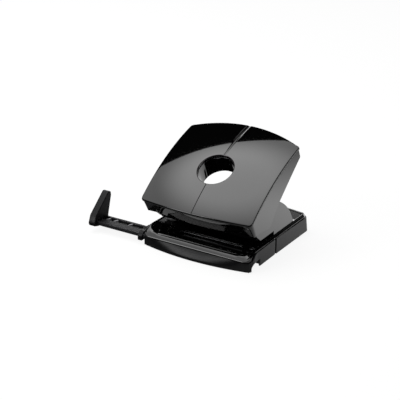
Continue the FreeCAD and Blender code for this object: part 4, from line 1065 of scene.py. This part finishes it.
def softbox():
    # level overhead, one long edge square to the way that the plate mirrors it
    bpy.ops.object.light_add(type="AREA", location=stage["softboxPlace"])
    lamp = bpy.context.object
    lamp.name = "softbox"
    lamp.rotation_euler = (0, 0, math.radians(stage["softboxTurn"]))
    lamp.data.shape = "RECTANGLE"
    lamp.data.size, lamp.data.size_y = stage["softboxSize"]
    lamp.data.energy = stage["softboxWatts"]
    # its cloth is dimmer away from the bulb
    lamp.data.use_nodes = True
    tree = lamp.data.node_tree
    away = addNode(tree, "ShaderNodeVectorMath", {"operation": "DISTANCE"},
                   {1: stage["softboxMiddle"]},
                   {0: addNode(tree, "ShaderNodeNewGeometry").outputs["Position"]})
    dim = addNode(tree, "ShaderNodeMapRange", {"interpolation_type": "SMOOTHSTEP"},
                  {"From Min": stage["softboxEven"], "From Max": stage["softboxRim"],
                   "To Min": 1.0, "To Max": stage["softboxDim"]},
                  {"Value": away.outputs["Value"]})
    tree.links.new(dim.outputs["Result"], tree.nodes["Emission"].inputs["Strength"])


def frontCard():
    bpy.ops.object.light_add(type="AREA", location=stage["cardPlace"])
    lamp = bpy.context.object
    lamp.name = "frontCard"
    lamp.rotation_euler = Vector(stage["cardPlace"]).to_track_quat("Z", "Y").to_euler()
    lamp.data.size = stage["cardSize"]
    lamp.data.energy = stage["cardWatts"]


def world():
    sky = bpy.data.worlds.new("studio")
    bpy.context.scene.world = sky
    sky.use_nodes = True
    tree = sky.node_tree
    tree.nodes.clear()
    path = addNode(tree, "ShaderNodeLightPath")
    way = addNode(tree, "ShaderNodeTexCoord").outputs["Generated"]
    shown = seenDirectly(tree, path)
    split = addNode(tree, "ShaderNodeSeparateXYZ", links={0: way})
    # white cards low down, grey above them, dark ceiling over it
    height = addNode(tree, "ShaderNodeMapRange",
                     inputs={"From Min": stage["cardsFull"], "From Max": stage["cardsEnd"],
                             "To Min": 1.0, "To Max": 0.0},
                     links={"Value": split.outputs["Z"]})
    stripHeight = addNode(tree, "ShaderNodeMath", {"operation": "COMPARE"},
                          {1: stage["stripMiddle"], 2: stage["stripHalf"]},
                          {0: split.outputs["Z"]})
    strip = addNode(tree, "ShaderNodeMath", {"operation": "MULTIPLY_ADD"}, {1: stage["strip"]},
                    {0: stripHeight.outputs[0], 2: height.outputs["Result"]})
    cards = addNode(tree, "ShaderNodeMath", {"operation": "MULTIPLY"}, links={
        0: strip.outputs[0], 1: brightSide(tree, way, *stage["cardsSide"])})
    white = addNode(tree, "ShaderNodeBackground", inputs={"Color": (1, 1, 1, 1)})
    mirrored = addNode(tree, "ShaderNodeBackground", inputs={"Color": (1, 1, 1, 1)},
                       links={"Strength": cards.outputs[0]})
    fill = addNode(tree, "ShaderNodeBackground",
                   inputs={"Color": (1, 1, 1, 1), "Strength": stage["fill"]})
    lit = addNode(tree, "ShaderNodeMixShader", links={
        0: path.outputs["Is Glossy Ray"], 1: fill.outputs[0], 2: mirrored.outputs[0]})
    mix = addNode(tree, "ShaderNodeMixShader",
                  links={0: shown.outputs[0], 1: lit.outputs[0], 2: white.outputs[0]})
    addNode(tree, "ShaderNodeOutputWorld", links={"Surface": mix.outputs[0]})


view = {
    "way": (0.4888, -0.7792, 0.3923),   # from the object to the eye
    "target": (-0.02362, -0.00691, 0.03255),
    "distance": 0.9796,
    "lens": 100.5,
    "sensor": 36,
    "clipStart": 0.01,
}


def camera():
    back = Vector(view["way"])
    bpy.ops.object.camera_add(location=Vector(view["target"]) + back * view["distance"])
    eye = bpy.context.object
    eye.rotation_euler = (-back).to_track_quat("-Z", "Y").to_euler()
    eye.data.lens = view["lens"]
    eye.data.sensor_width = view["sensor"]
    eye.data.clip_start = view["clipStart"]
    bpy.context.scene.camera = eye


paleFloor()
world()
softbox()
frontCard()
camera()
bpy.context.scene.view_settings.view_transform = "Standard"
print("stage set")

bpy.ops.object.select_all(action="DESELECT")
